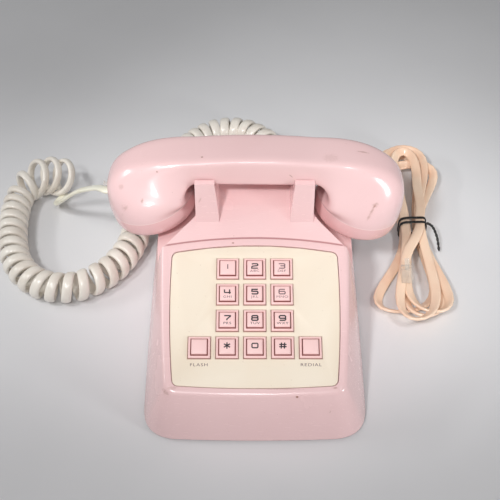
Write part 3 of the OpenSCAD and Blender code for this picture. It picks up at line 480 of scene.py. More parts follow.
def housing_plastic():
    """Painted shade darkens the crease above the rim, where the neck is a step lower."""
    paint = moulded("blush_housing", PINK, 0.26, marks=HOUSING_MARKS)
    across = paint.along((1, 0, 0))
    # painted shade: a darker line along the crease just above the rim
    near = paint.under(abs(paint.along(FACE_RISE) - rim_top(across) - 0.35), 0.5, 1.0)
    low = paint.under(paint.along(FACE_UP), -0.75, -0.15)
    inside = paint.under(abs(across), RIM_HALF - 1, RIM_HALF + 3)
    return overlaid(paint, tone(160, 92, 94), near * low * inside * 0.7)


def handset_plastic():
    """A painted highlight along the seam between each cup and its cap."""
    paint = moulded("blush_handset", PINK, 0.22, wear=0.8, marks=HANDSET_MARKS)
    line = 0.0
    for side in (-1, 1):
        cup = in_cup(side)
        below = paint.along(cup.to_3x3() @ UP, cup.translation)
        at_side = paint.band(paint.along((side, 0, 0), (0, 0, 0)), 30, 34)
        # painted highlight: a bright line along each cup's seam with its cap
        line = paint.under(abs(below), 0.2, 0.5) * at_side + line
    return overlaid(paint, tone(255, 232, 228), line * 0.8)


def cream_plate():
    """Matt cream plastic, yellowed in places, with dirt in specks, and dirt and painted shade round
    the collars.
    """
    colour = tone(243, 230, 211)
    paint = Paint("cream_plate", colour, 0.5)
    clouds = paint.noise(30, 3)
    shade = paint.mix(paint.band(clouds, 0.4, 0.75) * 0.4, colour, tone(238, 220, 196))
    specks = paint.band(paint.noise(1.3, 0), 0.82, 0.88)
    side, up = abs(paint.along((1, 0, 0))), paint.along(FACE_RISE) - KEY_MID

    def within(value, pitches, pitch):
        return paint.under(value, pitches * pitch - 0.1, pitches * pitch)

    lowest = within(up, -1, KEY_PITCH_Y) * within(side, 2.5, KEY_PITCH_X)
    keyed = paint.maths("MAXIMUM", within(side, 1.5, KEY_PITCH_X), lowest)
    # dirt and painted shade: a darker ring on the plate round each collar's foot
    ringed = paint.under(from_key(paint), COLLAR_W / 2 + 0.3, COLLAR_W / 2 + 0.9)
    overlay = specks * 0.25 + ringed * keyed * within(abs(up), 2, KEY_PITCH_Y) * 0.5
    return paint.covered(paint.mix(overlay, shade, tone(160, 116, 92)), clouds * 0.12 + 0.44,
                         paint.noise(0.35, 1), 0.12, 0.03)


def vinyl(name, screen, deep, roughness, size=6.0):
    """Satin vinyl of a cord, a little yellowed and dusty in places."""
    colour = tone(*screen)
    paint = Paint(name, colour, roughness, Coat_Weight=0.4, Coat_Roughness=0.15)
    dust = paint.band(paint.noise(size * 2.5, 3), 0.42, 0.72)
    fine = paint.noise(0.7, 2)
    shade = paint.mix(dust * 0.55 + fine * 0.1, colour, tone(*deep))
    return paint.covered(shade, fine * 0.12 + (roughness - 0.06) + dust * 0.1, fine, 0.15, 0.06)


def stuff(name, screen, roughness, grain=0.6, depth=0.05, contrast=0.75, **plain):
    """A small part's finish: fine grain in its colour, roughness and surface."""
    colour = tone(*screen)
    paint = Paint(name, colour, roughness, **plain)
    fine, broad = paint.noise(grain, 2), paint.noise(grain * 16, 2)
    darker = tuple(c * contrast for c in colour)
    shade = paint.mix(paint.band(broad, 0.35, 0.7), colour, darker)
    return paint.covered(shade, fine * 0.15 + (roughness - 0.07), fine, 0.2, depth)


def circuit_board():
    """Green lacquer over copper tracks that run square to each other."""
    green, track = tone(30, 92, 52), tone(66, 140, 84)
    paint = Paint("circuit_green", green, 0.3, Coat_Weight=0.4)
    rows = paint.band(paint.noise(1.6, 0, 0.5, (0.12, 1, 1)), 0.55, 0.58)
    columns = paint.band(paint.noise(1.9, 0, 0.5, (1, 0.12, 1)), 0.58, 0.61)
    tracks = paint.maths("MAXIMUM", rows, columns)
    return paint.covered(paint.mix(tracks, green, track), 0.3, tracks, 0.4, 0.04)


# Marks of use: centre, direction, half length, half width, strength
HOUSING_MARKS = [
    (25.1, -76.2, 33, 1, 0, 0, 1.2, 1, 1.3), (-54.1, -72.6, 32.9, 1, -1, 0, 4.5, 2, 0.35),
    (-49.7, -71.6, 35.7, 1, 0.1, 0, 5, 1.6, 0.3), (47.9, -71.6, 35.7, 1, 0, 0, 2.4, 0.9, 0.5),
    (45.4, -79.6, 21.9, 0.3, 0, 1, 3, 0.7, 0.4), (-13.9, 17.2, 68, 1, 0, 0, 1.1, 0.9, 0.8),
    (65.7, -4.8, 37.3, 0, 0.3, 1, 6, 1.8, 0.3), (-34.8, 35.2, 88.7, 0.4, 0, 1, 4.5, 0.8, 0.4),
    (18, -72.3, 35.6, 1, 0, 0, 16, 0.8, 0.3)]
HANDSET_MARKS = [
    (74.3, 31.2, 81.2, 5.7, 5.1, 11.1, 8, 1.3, 0.5), (76.8, 33.5, 86, 1, 0, 0.3, 3, 2.2, 0.4),
    (72.5, 28, 64, 0.3, 0, 1, 2.4, 1.7, 0.5), (28, 45.2, 112.9, 1, 0, -0.05, 18, 0.5, 0.5),
    (47.9, 49.4, 111.7, 1, 0.2, 0, 7, 5, 0.14), (69.1, 58.8, 108.4, 1, 0.1, -0.28, 6, 0.9, 0.6),
    (-33.1, 49.6, 112.3, 1, 0, 0, 1.1, 0.9, 0.9), (-71.7, 34.4, 88.6, 0.3, 0, 1, 3.2, 1.2, 0.6),
    (-85.1, 41.5, 94.1, 1, 0, 1, 2.6, 2, 0.3), (-61.3, 42.3, 106.3, 1, 0, 0, 1, 0.8, 0.8),
    (22.8, 42.4, 102.8, 1, 0, -1, 2.4, 0.5, 0.6)]
housing_paint = housing_plastic()
handset_paint = handset_plastic()
cap_paint = moulded("blush_caps", PINK_CAP_SHADED, 0.24, wear=0.5)
key_paint = keycap_plastic()
collar_paint = collar_plastic()
cream_paint = cream_plate()
ivory_paint = vinyl("ivory_vinyl", (240, 234, 224), (218, 207, 194), 0.30)
lead_paint = vinyl("pale_lead_vinyl", (250, 248, 230), (238, 230, 204), 0.34)
peach_paint = vinyl("peach_vinyl", (250, 221, 195), (236, 192, 162), 0.34, 9)
clear_paint = stuff("clear_plug", (226, 222, 212), 0.1, 0.8, 0.02, 0.9, Alpha=0.3, Coat_Weight=0.8)
print_paint = stuff("dark_print", (58, 50, 56), 0.55, 0.4, 0.01, 0.8)
faint_paint = stuff("worn_print", (118, 92, 98), 0.55, 0.4, 0.01, 0.8)
dark_paint = stuff("charcoal_plastic", (44, 42, 44), 0.5)
rubber_paint = stuff("black_rubber", (28, 28, 29), 0.8, 0.8, 0.1)
mat_paint = stuff("grey_silicone", (112, 112, 118), 0.65)
white_paint = stuff("white_lever", (226, 222, 212), 0.4)
steel_paint = stuff("zinc_steel", (190, 190, 194), 0.32, 0.3, 0.02, 0.85, Metallic=1.0)
iron_paint = stuff("plain_steel", (128, 128, 132), 0.45, 0.5, 0.04, 0.8, Metallic=1.0)
capsule_paint = stuff("capsule_alloy", (176, 176, 180), 0.4, 0.4, 0.02, 0.85, Metallic=0.9)
tie_paint = stuff("black_tie", (26, 26, 27), 0.45, 0.5, 0.03)
board_paint = circuit_board()


# --- cords
CORD_SIDES, CURL_RINGS, LOOP_RINGS = 16, 24, 48
CURL_LIFT, LIFTED_CURLS = 5.0, 6                      # the first curls stand higher,
CURL_LOOSE, LOOSE_CURLS, LOOSE_FADE = 0.48, 4.1, 1.5  # are wider,
CURL_LEAN = Vector((-0.645, -0.525, 0.555))           # and face this way
CURL_SIDE = CURL_LEAN.cross(UP).normalized()
CURL_R = (CURL_OD - CURL_T) / 2
PLUMP_W, PLUMP_T, PLUMP_FROM, PLUMP_OVER = 7.2, 3.9, 4.5, 3  # the wire's section in the closed curls
CURL_ROUTE = [                                        # x, y and the curls up to there
    (-142.5, 133.5, 0), (-152.5, 136.5, 1), (-163, 137.5, 2), (-171.5, 132, 3),
    (-177, 120.5, 4.1), (-179, 105, 6), (-178, 88, 8), (-175, 70, 10), (-169, 52, 12),
    (-158, 37.5, 14), (-142, 29, 16), (-123, 29.5, 18), (-106, 40, 20), (-94.5, 55, 22),
    (-88, 72.5, 24), (-86, 91, 26), (-84, 109, 28), (-80, 127, 30), (-73, 143.5, 32),
    (-64, 159, 34), (-54, 174, 36), (-43, 186.5, 38), (-28, 195.5, 40), (-10.5, 196, 42),
    (5, 187, 44), (18, 172.5, 46), (27.5, 155.5, 48), (31, 137, 50)]
CURLS = CURL_ROUTE[-1][2]
CURL_START = (Vector((*CURL_ROUTE[0][:2], CURL_Z + CURL_LIFT))
              - CURL_SIDE.cross(CURL_LEAN) * CURL_R * (1 + CURL_LOOSE))

skew = radians(HANDSET_SKEW)
lead_out = Vector((-cos(skew), sin(skew), 0))
lead_start = (Vector((HANDSET_X, HANDSET_Y, HANDSET_JACK_Z))
              + lead_out * (PLUG_OUT - HANDSET_JACK_X))
LEAD_ROUTE = [lead_start + lead_out] + as_vectors([
    (-101.5, 62, 73), (-107, 70, 66.5), (-116, 80, 56), (-126, 90, 44), (-135, 97.5, 32),
    (-142.5, 104, 21), (-147.8, 110.5, 12), (-149.6, 117, 7)]) + [CURL_START - CURL_SIDE * 3]
BASE_LEAD_ROUTE = as_vectors([
    (31, 131, CURL_Z), (31, 130, CURL_Z), (31, 124, 11), (30.4, 115, 11.6), (30, 105, 12),
    (CORD_JACK_X, JACK_FACE_Y + PLUG_OUT + 1, JACK_Z),
    (CORD_JACK_X, JACK_FACE_Y + PLUG_OUT, JACK_Z)])


def handset_lead():
    """The flat lead from the handset's plug down to the first curl."""
    path = in_mm([lead_start] + spread(LEAD_ROUTE, 60) + [LEAD_ROUTE[-1] + CURL_SIDE])
    flat = oval(LEAD_W, LEAD_T, CORD_SIDES, 3.2)
    bm = swept(path, [UP] * len(path), lambda i: flat)
    piece = made("handset_lead_cord", bm, lead_paint, None, "ivory_cord", ["handset_lead"])
    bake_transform(piece)
    length_of(path)


def curl_path():
    """Centreline of the curls with the direction away from their axis, ring by ring."""
    axis = [Vector((x, y, CURL_Z + CURL_LIFT * ease(1 - n / LIFTED_CURLS)))
            for x, y, n in CURL_ROUTE]
    path = [CURL_START - CURL_SIDE * far for far in (3, 1.5)]
    outs, counts, steps = [UP, UP], [0.0, 0.0], []
    for k, (a, b) in enumerate(zip(CURL_ROUTE, CURL_ROUTE[1:])):
        n = round(CURL_RINGS * (b[2] - a[2]))
        steps += [(k + j / n, a[2] + j / CURL_RINGS) for j in range(n)]
    steps.append((len(CURL_ROUTE) - 1, CURLS))
    for place, count in steps:
        ahead = (curve(axis, place + 0.01) - curve(axis, place - 0.01)).normalized()
        loose = ease((LOOSE_CURLS - count) / LOOSE_FADE)
        ahead = ahead.lerp(CURL_LEAN, loose).normalized()
        side = ahead.cross(UP).normalized()
        turn = 2 * pi * (count - 0.25)
        out = side * cos(turn) + side.cross(ahead) * sin(turn)
        radius = CURL_R * ease(CURLS - count) * (1 + CURL_LOOSE * loose)
        path.append(curve(axis, place) + out * radius)
        outs.append(out)
        counts.append(count)
    outs[0] = outs[1] = outs[2]
    return path, outs, counts


def curly_cord():
    """The curls and the short lead that runs from them into the base."""
    path, outs, counts = curl_path()
    last_out = outs[-1]
    tail = [BASE_LEAD_ROUTE[0]] + spread(BASE_LEAD_ROUTE[1:-1], 40) + [BASE_LEAD_ROUTE[-1]]
    outs += [last_out.lerp(UP, ease(i / 12)).normalized() for i in range(len(tail))]
    counts += [CURLS] * len(tail)
    path = in_mm(path + tail)

    def section(i):
        grown = ease(min(counts[i], CURLS - counts[i]) * 1.5)
        plump = ease((counts[i] - PLUMP_FROM) / PLUMP_OVER)
        width = mixed(LEAD_W, mixed(CURL_W, PLUMP_W, plump), grown)
        return oval(width, mixed(LEAD_T, PLUMP_T, grown), CORD_SIDES, 2.4)

    piece = made("curly_handset_cord", swept(path, outs, section), ivory_paint, "base",
                 "ivory_cord", ["handset_curls", "base_lead"])
    length_of(path)


# The hank: loops drawn in at the tie. Each row is a loop's reach, lean and bulge
HANK_MID = Vector((117, 88, 0))
UPPER_LOBES = [(90, -2, 11), (90, -2, 11), (82, 2, 12), (68, 8, 15), (82, 2, 12), (76, 1, 5)]
LOWER_LOBES = [(76, -17, 16), (76, -17, 16), (82, 0, 9), (81, 6, 10), (90, -8, 9)]
HANK_START, HANK_STOP = 318.0, 1860.0         # degrees, where the loops start and stop
FIRST_TOP, CLIMB_AFTER, CLIMB = 450, 150, 60  # degrees, where the hank climbs a layer
HANK_LOW = LINE_T / 2 + 1
HANK_TOP = HANK_LOW + 4 * LOOP_RISE
HANK_TILT = 48                                # degrees, how far the cord leans in the loops
HANK_TAIL = [(124.5, 104, 0), (122.4, 92, 0), (121.2, 83, 0.1), (116, 70, 0.8), (110, 58, 1.8),
             (106.6, 48, 2.2), (106, 42, 2.2)]
LINE_LEAD_ROUTE = as_vectors([
    (LINE_JACK_X, JACK_FACE_Y + PLUG_OUT, JACK_Z), (48, 98, 11.2), (51, 110, 6), (60, 121, 2.4),
    (74, 127, 2.2), (90, 131, 2.2), (100, 140, 2.2), (102, 150, 2.2)])


def hank_point(turned):
    """A place in the loops, and how far out from the tie it is, 0 to 1."""
    a = radians(turned)
    if cos(a) >= 0:
        reach, lean, bulge = UPPER_LOBES[int((turned + 90) // 360)]
    else:
        reach, lean, bulge = LOWER_LOBES[int(turned // 360)]
    out = cos(a) ** 2
    past = turned - FIRST_TOP
    loop = past // 360
    climbed = loop + ease((past - CLIMB_AFTER - 360 * loop) / CLIMB) if past >= 0 else 0
    return HANK_MID + Vector((sin(a) * (WAIST + 2.6 * bulge * out) + lean * out,
                              reach * cos(a), HANK_LOW + LOOP_RISE * climbed)), out


def line_cord():
    """The flat line cord: out of the base and through five loops to its plug."""
    span = HANK_STOP - HANK_START
    count = round(span / 360 * LOOP_RINGS)
    loops = [hank_point(HANK_START + span * i / count) for i in range(count + 1)]
    tail = [loops[-1][0]] + [Vector((x, y, HANK_TOP + z)) for x, y, z in HANK_TAIL]
    lead_path = spread(LINE_LEAD_ROUTE + [loops[0][0]], 60)[:-1]
    tail_path = spread(tail, 42)[1:] + [tail[-1] - ALONG]
    path = lead_path + [p for p, _ in loops] + tail_path
    lean = [0.0] * len(lead_path) + [out for _, out in loops]
    lean += [loops[-1][1] * max(0, 1 - i / 12) for i in range(len(tail_path))]
    ups = []
    for i, ahead in enumerate(tangents(path)):
        tilt = radians(HANK_TILT) * lean[i] ** 1.5
        side = ahead.cross(UP).normalized()
        ups.append(UP * cos(tilt) + side * sin(tilt))
        path[i] = path[i] + UP * (LINE_W / 2 * sin(tilt) * 0.8)
    path = in_mm(path)
    flat = oval(LINE_W, LINE_T, CORD_SIDES, 3.4)
    bm = swept(path, ups, lambda i: flat)
    piece = made("hanked_line_cord", bm, peach_paint, "base", "peach_cord",
                 ["line_lead", "line_hank"])
    length_of(path)


TIE_W, TIE_T, TIE_APART, TIE_STEPS = 2.1, 0.9, 2.2, 48
STRAND_W, STRAND_OUT, STRAND_TWIST = 1.0, 0.55, 0.75


def tie_wire():
    """Two turns of covered wire round the hank's waist and its twisted ends."""
    half_w = WAIST + LINE_W / 2 + 1.0
    low, high = 0.55, HANK_TOP + LINE_T / 2 + 0.9
    mid_z = (low + high) / 2
    section = oval(TIE_W, TIE_T, 10, 2.6)
    parts = []
    for offset in (-TIE_APART, TIE_APART):
        turn = []
        for i in range(TIE_STEPS + 1):
            a = 2 * pi * i / TIE_STEPS
            c, s = squared(a, 5)
            turn.append(Vector((HANK_MID.x + c * half_w, HANK_MID.y + offset + 0.5 * sin(2 * a),
                                mid_z + s * (high - mid_z))) * MM)
        rings = [[at + ALONG * a + ALONG.cross(ahead) * b for a, b in section]
                 for at, ahead in zip(turn, tangents(turn))]
        wrap = lofted(rings[:-1] + [rings[0]], capped=False)
        bmesh.ops.remove_doubles(wrap, verts=wrap.verts[:], dist=1e-6)
        parts.append(wrap)
    root = Vector((HANK_MID.x + half_w + 0.3, HANK_MID.y, 14))
    bends = [root + Vector(way) for way in ((0, 0, 0), (4, -3, -1), (7, -10, -5), (8, -19, -10))]
    stem = spread(bends, 40)
    wire = oval(STRAND_W, STRAND_W, 8)
    for phase in (0, pi):
        strand = []
        for i, (at, ahead) in enumerate(zip(stem, tangents(stem))):
            side = ahead.cross(UP).normalized()
            top = side.cross(ahead)
            a = phase + i * STRAND_TWIST
            strand.append((at + side * STRAND_OUT * cos(a) + top * STRAND_OUT * sin(a)) * MM)
        parts.append(swept(strand, [UP] * len(strand), lambda i: wire))
    made("twist_tie_wire", gathered(parts), tie_paint, "base", "tie_black", ["twist_tie"])


def polished(node, paint, slot, bevel=0.0, angle=32):
    """A CAD node's own shape as one welded mesh, with softened edges and smooth shading."""
    bm = welded(frame["nodes"][node].data, 0.002)
    flattened(bm, 0.5)
    if bevel:
        rounded(bm, sharp(bm, angle), bevel, 2)
    body = next(b for b, held in frame["record"]["behaviour"]["bodies"].items() if node in held)
    made(node + "_shell", bm, paint, body, slot, [node], angle)


polished("line_plug", clear_paint, "clear_plastic", 0.25)
tie_wire()
handset_lead()
curly_cord()
line_cord()


# --- housing
SKIRT_H, ROUND_STEPS, DISH_STEPS = 1, 16, 120
BASE_BOWS, BASE_ROUNDS, DECK_INSET = (2.2, 0.8, 0.5, 0.8), (21, 12), 11
FACE_BOWS, FACE_ROUND = (2.0, 1.6, 0.2, 1.6), 9
PRONG_BACK, COLUMN_SUNK, CREASE = 3.8, 24, 25    # CREASE in degrees
DISH_FRONT, DISH_BACK, DISH_LOW, DISH_HIGH, DISH_W = -67, 107, 27, 110, 80
CLEAR_OF_PLANE = 0.05                            # so that no faces lie on one another
# How the bezel's edge is rounded: down from the face, inwards from the outline
BEZEL_ROUND = [(-3.4, 0), (-3.2, 0), (-2.1, 0.35), (-1.3, 0.8), (-0.7, 1.45), (-0.3, 2.2),
               (-0.08, 3.0), (0, 3.8)]
INSIDE_ROUND = [(-3.4, 0), (-1.5, 0.8), (-0.5, 2.0), (-0.2, 3.4)]
# How the rim is rounded above the faceplate: up from the face, back down the slope
RIM_ROUND = [(-RIM_STEP, 0), (-1.0, 0.02), (-0.75, 0.12), (-0.5, 0.3), (-0.28, 0.55), (-0.1, 0.85),
             (0.0, 1.15), (0.02, 1.25), (40, 1.3)]


def bowed(corners, sags, radii):
    """Closed outline through corners, anticlockwise, with bowed sides and round corners."""
    n, sides = len(corners), []
    for i in range(n):
        a, b = Vector(corners[i]), Vector(corners[(i + 1) % n])
        ra, rb, span = radii[i], radii[(i + 1) % n], (b - a).length
        normal = Vector((b.y - a.y, a.x - b.x)) / span
        side = []
        for k in range(ROUND_STEPS + 1):
            u = (ra + (span - ra - rb) * k / ROUND_STEPS) / span
            side.append(a + (b - a) * u + normal * sags[i] * 4 * u * (1 - u))
        sides.append(side)
    outline = []
    for i in range(n):
        outline += sides[i]
        p, c, q = sides[i][-1], Vector(corners[(i + 1) % n]), sides[(i + 1) % n][0]
        for k in range(1, ROUND_STEPS):
            u = k / ROUND_STEPS
            outline.append(p * (1 - u) ** 2 + c * 2 * u * (1 - u) + q * u * u)
    return outline


def trapezium(low_w, low_y, high_w, high_y):
    return [(-low_w, low_y), (low_w, low_y), (high_w, high_y), (-high_w, high_y)]


def plate_outline(grow):
    corners = trapezium(PLATE_LOW_W / 2 + grow, PLATE_LOW_Y - grow,
                        PLATE_TOP_W / 2 + grow, PLATE_TOP_Y + grow)
    return bowed(corners, PLATE_BOWS, [PLATE_CORNER + grow * 0.8] * 4)


def base_outline(inset):
    front, back = BASE_ROUNDS[0] - inset, BASE_ROUNDS[1] - inset / 2
    corners = trapezium(BASE_FRONT_W / 2 - inset, -BACK_Y + BASE_BOWS[0] + inset,
                        BASE_BACK_W / 2 - inset, BACK_Y - 0.5 - inset)
    return bowed(corners, BASE_BOWS, (front, front, back, back))


def face_outline(inset):
    low_y = PLATE_LOW_Y - PLATE_BOWS[0] * 0.3 - RIM_W + 0.4
    corners = trapezium(PLATE_LOW_W / 2 + RIM_W - 0.6 - inset, low_y + inset,
                        PLATE_TOP_W / 2 + RIM_W + 1.6 - inset, NECK_T + 4 - inset)
    return bowed(corners, FACE_BOWS, [FACE_ROUND - inset] * 4)


def placed(bm, place=HERE):
    """Takes a bmesh that was made in mm to its place, in metres."""
    bmesh.ops.recalc_face_normals(moved(bm, Matrix.Scale(MM, 4) @ place), faces=bm.faces[:])
    return bm


def points_in(geometry):
    return [v for v in geometry if isinstance(v, bmesh.types.BMVert)]


def prism(outline, low, high, place=HERE):
    bm = bmesh.new()
    face = bm.faces.new([bm.verts.new((p[0], p[1], low)) for p in outline])
    grown = bmesh.ops.extrude_face_region(bm, geom=[face])
    bmesh.ops.translate(bm, vec=(0, 0, high - low), verts=points_in(grown["geom"]))
    return placed(bm, place)


def block(low, high, place=HERE):
    low, high = Vector(low), Vector(high)
    bm = bmesh.new()
    bmesh.ops.create_cube(bm, size=1)
    moved(bm, Matrix.Translation((low + high) / 2) @ Matrix.Diagonal((*(high - low), 1)))
    return placed(bm, place)


def pillar(x, y, low, high, radius):
    bm = bmesh.new()
    bmesh.ops.create_cone(bm, cap_ends=True, segments=48, radius1=radius, radius2=radius,
                          depth=high - low, matrix=Matrix.Translation((x, y, (low + high) / 2)))
    return placed(bm)


def wedge(inset):
    """The housing's sloping body, or its inside when inset is the wall."""
    low = -1 if inset else FOOT_H
    lid = PLATE_BOTTOM - LEDGE_T if inset else 0
    drop = WALL + 2.4 if inset else 0
    bm = bmesh.new()
    for z in (low, low + SKIRT_H):
        for x, y in base_outline(inset):
            bm.verts.new((x, y, z))
    for down, inward in INSIDE_ROUND if inset else BEZEL_ROUND:
        for x, y in face_outline(inset + inward):
            bm.verts.new(ON_FACE @ Vector((x, y, lid + down)))
    half = BASE_BACK_W / 2 - DECK_INSET - inset
    for x in (-half, half):
        for y in (DECK_Y - inset - 4, DECK_Y - inset):
            for z in (DECK_Z - drop - 1, DECK_Z - drop):
                bm.verts.new((x, y, z))
    found = bmesh.ops.convex_hull(bm, input=bm.verts[:])
    spare = dict.fromkeys(points_in(found["geom_interior"] + found["geom_unused"]))
    bmesh.ops.delete(bm, geom=list(spare), context="VERTS")
    bm.normal_update()
    above_skirt = [e for e in bm.edges if max(v.co.z for v in e.verts) > low + SKIRT_H + 0.01
                   or all(abs(f.normal.z) > 0.99 for f in e.link_faces)]
    flattened(bm, 0.3, above_skirt)
    return placed(bm)


def carved(body, operation, *tools):
    """Body with each tool joined to it, cut from it or crossed with it."""
    for bm in tools:
        tool = solid("tool", bm) if isinstance(bm, bmesh.types.BMesh) else bm
        step = body.modifiers.new("step", "BOOLEAN")
        step.operation, step.object, step.solver = operation, tool, "EXACT"
        mesh = evaluated(body)
        body.modifiers.clear()
        body.data = mesh
        bpy.data.objects.remove(tool)
    return body


def dish_outline(radius, side):
    """A circle drawn out along its tangent at 45 degrees, outwards and forwards."""
    tip, spread_by = 90 + 45 * side, 2 * degrees(atan(SHOULDER_RUN / radius))
    angles = [radians(tip - side * (spread_by + 0.01 + (360 - spread_by) * i / DISH_STEPS))
              for i in range(DISH_STEPS + 1)]
    a, run = radians(tip), SHOULDER_RUN / sqrt(2)
    return [(radius * cos(a), radius * sin(a)) for a in angles] + [
        (radius * cos(a) + side * run, radius * sin(a) + run)]


def shoulder(side, grow=0.0):
    """Dish under one end of the handset, outside the column."""
    rings = []
    for radius, z in ((SHOULDER_R + grow, -SHOULDER_RISE),
                      (SHOULDER_LOW_R + grow, CAP_H + SHOULDER_GAP + grow)):
        share = radius / (SHOULDER_R + grow)
        rings.append([in_cup(side) @ Vector((x * share, y * share, z)) * MM
                      for x, y in dish_outline(SHOULDER_R + grow, side)])
    inner = COLUMN_OUTER - grow - CLEAR_OF_PLANE
    low, high = sorted((side * inner, side * (inner + DISH_W)))
    return carved(solid("dish", lofted(rings)), "INTERSECT",
                  block((low, DISH_FRONT, DISH_LOW), (high, DISH_BACK, DISH_HIGH)))


def column(side):
    """One cradle column with its front and back prong, its edges rounded."""
    front, foot_z = COLUMN_FOOT_Y + PRONG_BACK, DECK_Z - COLUMN_SUNK
    saddle_front = front + PRONG_T
    saddle_back = 2 * HANDSET_Y - saddle_front + 0.2
    saddle_z = HANDLE_Z - 0.3
    profile = [(COLUMN_FOOT_Y - 6, foot_z), (COLUMN_FOOT_Y - 1.2, DECK_Z - 8), (front, PRONG_Z),
        (saddle_front, PRONG_Z), (saddle_front, saddle_z), (saddle_back, saddle_z),
        (saddle_back, PRONG_Z), (saddle_back + PRONG_T, PRONG_Z),
        (saddle_back + PRONG_T + 2, DECK_Z - 3), (DECK_Y - 2, foot_z)]
    along_x = Matrix(((0, 0, 1, 0), (1, 0, 0, 0), (0, 1, 0, 0), (0, 0, 0, 1)))
    along_y = Matrix(((1, 0, 0, 0), (0, 0, 1, 0), (0, 1, 0, 0), (0, 0, 0, 1)))
    inner_foot, inner_top = COLUMN_OUTER - COLUMN_W, COLUMN_OUTER - PRONG_W
    front_view = [(side * x, z) for x, z in (
        (inner_foot, foot_z), (inner_foot, DECK_Z - 6), (inner_top, PRONG_Z),
        (COLUMN_OUTER, PRONG_Z), (COLUMN_OUTER, foot_z))]
    body = carved(solid("column", prism(profile, -45, 45, along_x)), "INTERSECT",
                  prism(front_view, -40, 120, along_y))
    bm = welded(body.data, 0.01)
    flattened(bm, 1)
    inner = [e for e in sharp(bm, CREASE) if abs(e.verts[0].co.z - e.verts[1].co.z) > 3 * MM
             and all(v.co.y < (front + 1) * MM and abs(v.co.x) < (inner_top + 0.5) * MM
                     for v in e.verts)]
    rounded(bm, inner, 2.2, 5)
    above = (DECK_Z - 20) * MM
    rounded(bm, [e for e in sharp(bm, CREASE) if max(v.co.z for v in e.verts) > above], 0.8, 3)
    bm.to_mesh(body.data)
    bm.free()
    return body


def neck_cut():
    """What is taken off above the rim: the neck's step and the rim's rounding."""
    half, out, far, steps = 66, 90, 140, 60
    rings = []
    for z, back in RIM_ROUND:
        edge = [(-out, far), (-out, rim_top(half) - back)]
        across = [-half + 2 * half * i / steps for i in range(steps + 1)]
        edge += [(x, rim_top(x) - back) for x in across]
        edge += [(out, rim_top(half) - back), (out, far)]
        rings.append([ON_FACE @ Vector((x, y, z)) * MM for x, y in edge])
    return lofted(rings)


def housing():
    shell = solid("housing_shell", wedge(0))
    carved(shell, "DIFFERENCE", shoulder(-1), shoulder(1), neck_cut())
    carved(shell, "UNION", column(-1), column(1))
    inside = solid("inside", wedge(WALL))
    carved(inside, "DIFFERENCE", shoulder(-1, WALL), shoulder(1, WALL),
           *[pillar(x, y, COVER_TOP, COVER_TOP + 90, BOSS_R) for x, y in BOSSES])
    carved(shell, "DIFFERENCE", inside, prism(plate_outline(PLATE_GAP), PLATE_BOTTOM, 20, ON_FACE),
           prism(plate_outline(-LEDGE_W), PLATE_BOTTOM - 10, 10, ON_FACE),
           *[pillar(x, HANDSET_Y, DECK_Z - 30, DECK_Z + 30, PLUNGER_R + PLUNGER_GAP)
             for x in (-PLUNGER_X, PLUNGER_X)],
           *[block((x - JACK_W / 2 - 0.2, BACK_Y - 8, JACK_Z - JACK_H / 2 - 0.2),
                   (x + JACK_W / 2 + 0.2, BACK_Y + 12, JACK_Z + JACK_H / 2 + 0.2))
             for x in (CORD_JACK_X, LINE_JACK_X)])
    bm = welded(shell.data, 0.01)
    bmesh.ops.dissolve_degenerate(bm, dist=0.05 * MM, edges=bm.edges[:])
    bm.to_mesh(shell.data)
    bm.free()
    finished(shell, housing_paint, "base", "pink_plastic", ["housing"], 28)


# --- handset
CUP_REACH = (CUP_X - BEND_X) / cos(radians(CUP_TILT))
CUP_OUT = CUP_REACH + CUP_R
END_REACH = CUP_OUT * cos(radians(CUP_TILT)) + 0.6
HANDLE_TOP = HANDLE_Z + HANDLE_H
SECTION_SIDES, FAN_STEPS = 64, 44
HANDLE_RINGS = (-33, -27, -20, -13, -6, 0, 6, 13, 20, 27, 33)


def pivot_z(side):
    return seam_z(side) + (CUP_X - BEND_X) * tan(radians(CUP_TILT))


def outer_reach(angle, side):
    """From the inner bend's centre to the handset's outside, angle degrees above level."""
    if angle < 0:
        return mixed(END_REACH, CUP_OUT, -angle / CUP_TILT)
    a, top = radians(angle), HANDLE_TOP - ARCH - pivot_z(side)
    return ((cos(a) / END_REACH) ** END_CURVE + (sin(a) / top) ** END_CURVE) ** (-1 / END_CURVE)


def inner_reach(angle, side):
    return mixed(CUP_REACH - CUP_R, HANDLE_Z - pivot_z(side),
                 ease((angle + CUP_TILT) / (90 + CUP_TILT)))


def handset_section(low, high, half_w, square, narrow):
    points = []
    for i in range(SECTION_SIDES):
        r, s = squared(2 * pi * i / SECTION_SIDES, square)
        taper = 1 - narrow * ((r + 1) / 2) ** 1.6
        points.append(((low + high) / 2 + r * (high - low) / 2, half_w * s * taper))
    return points


def fan_half_w(angle):
    return mixed(HANDLE_W / 2, CUP_R, ease((90 - angle) / 92) ** 0.8)


def fan_narrow(angle):
    """How much narrower a section is at its outside than at its inside."""
    top = mixed(CUP_R, HANDLE_W / 2 - 0.6, ease((angle + CUP_TILT) / 42))
    return 1 - top / fan_half_w(angle)


def fan_ring(angle, side):
    a, pivot = radians(angle), pivot_z(side)
    square = mixed(2, HANDLE_SQUARE, ease((angle + CUP_TILT) / 84))
    flat = handset_section(inner_reach(angle, side), outer_reach(angle, side),
                           fan_half_w(angle), square, fan_narrow(angle))
    return [IN_HANDSET @ Vector((side * (BEND_X + r * cos(a)), y, pivot + r * sin(a)))
            * MM for r, y in flat]


def handle_ring(x):
    flat = handset_section(HANDLE_Z, HANDLE_TOP - ARCH * (x / BEND_X) ** 2, HANDLE_W / 2,
                           HANDLE_SQUARE, fan_narrow(90))
    return [IN_HANDSET @ Vector((x, y, z)) * MM for z, y in flat]


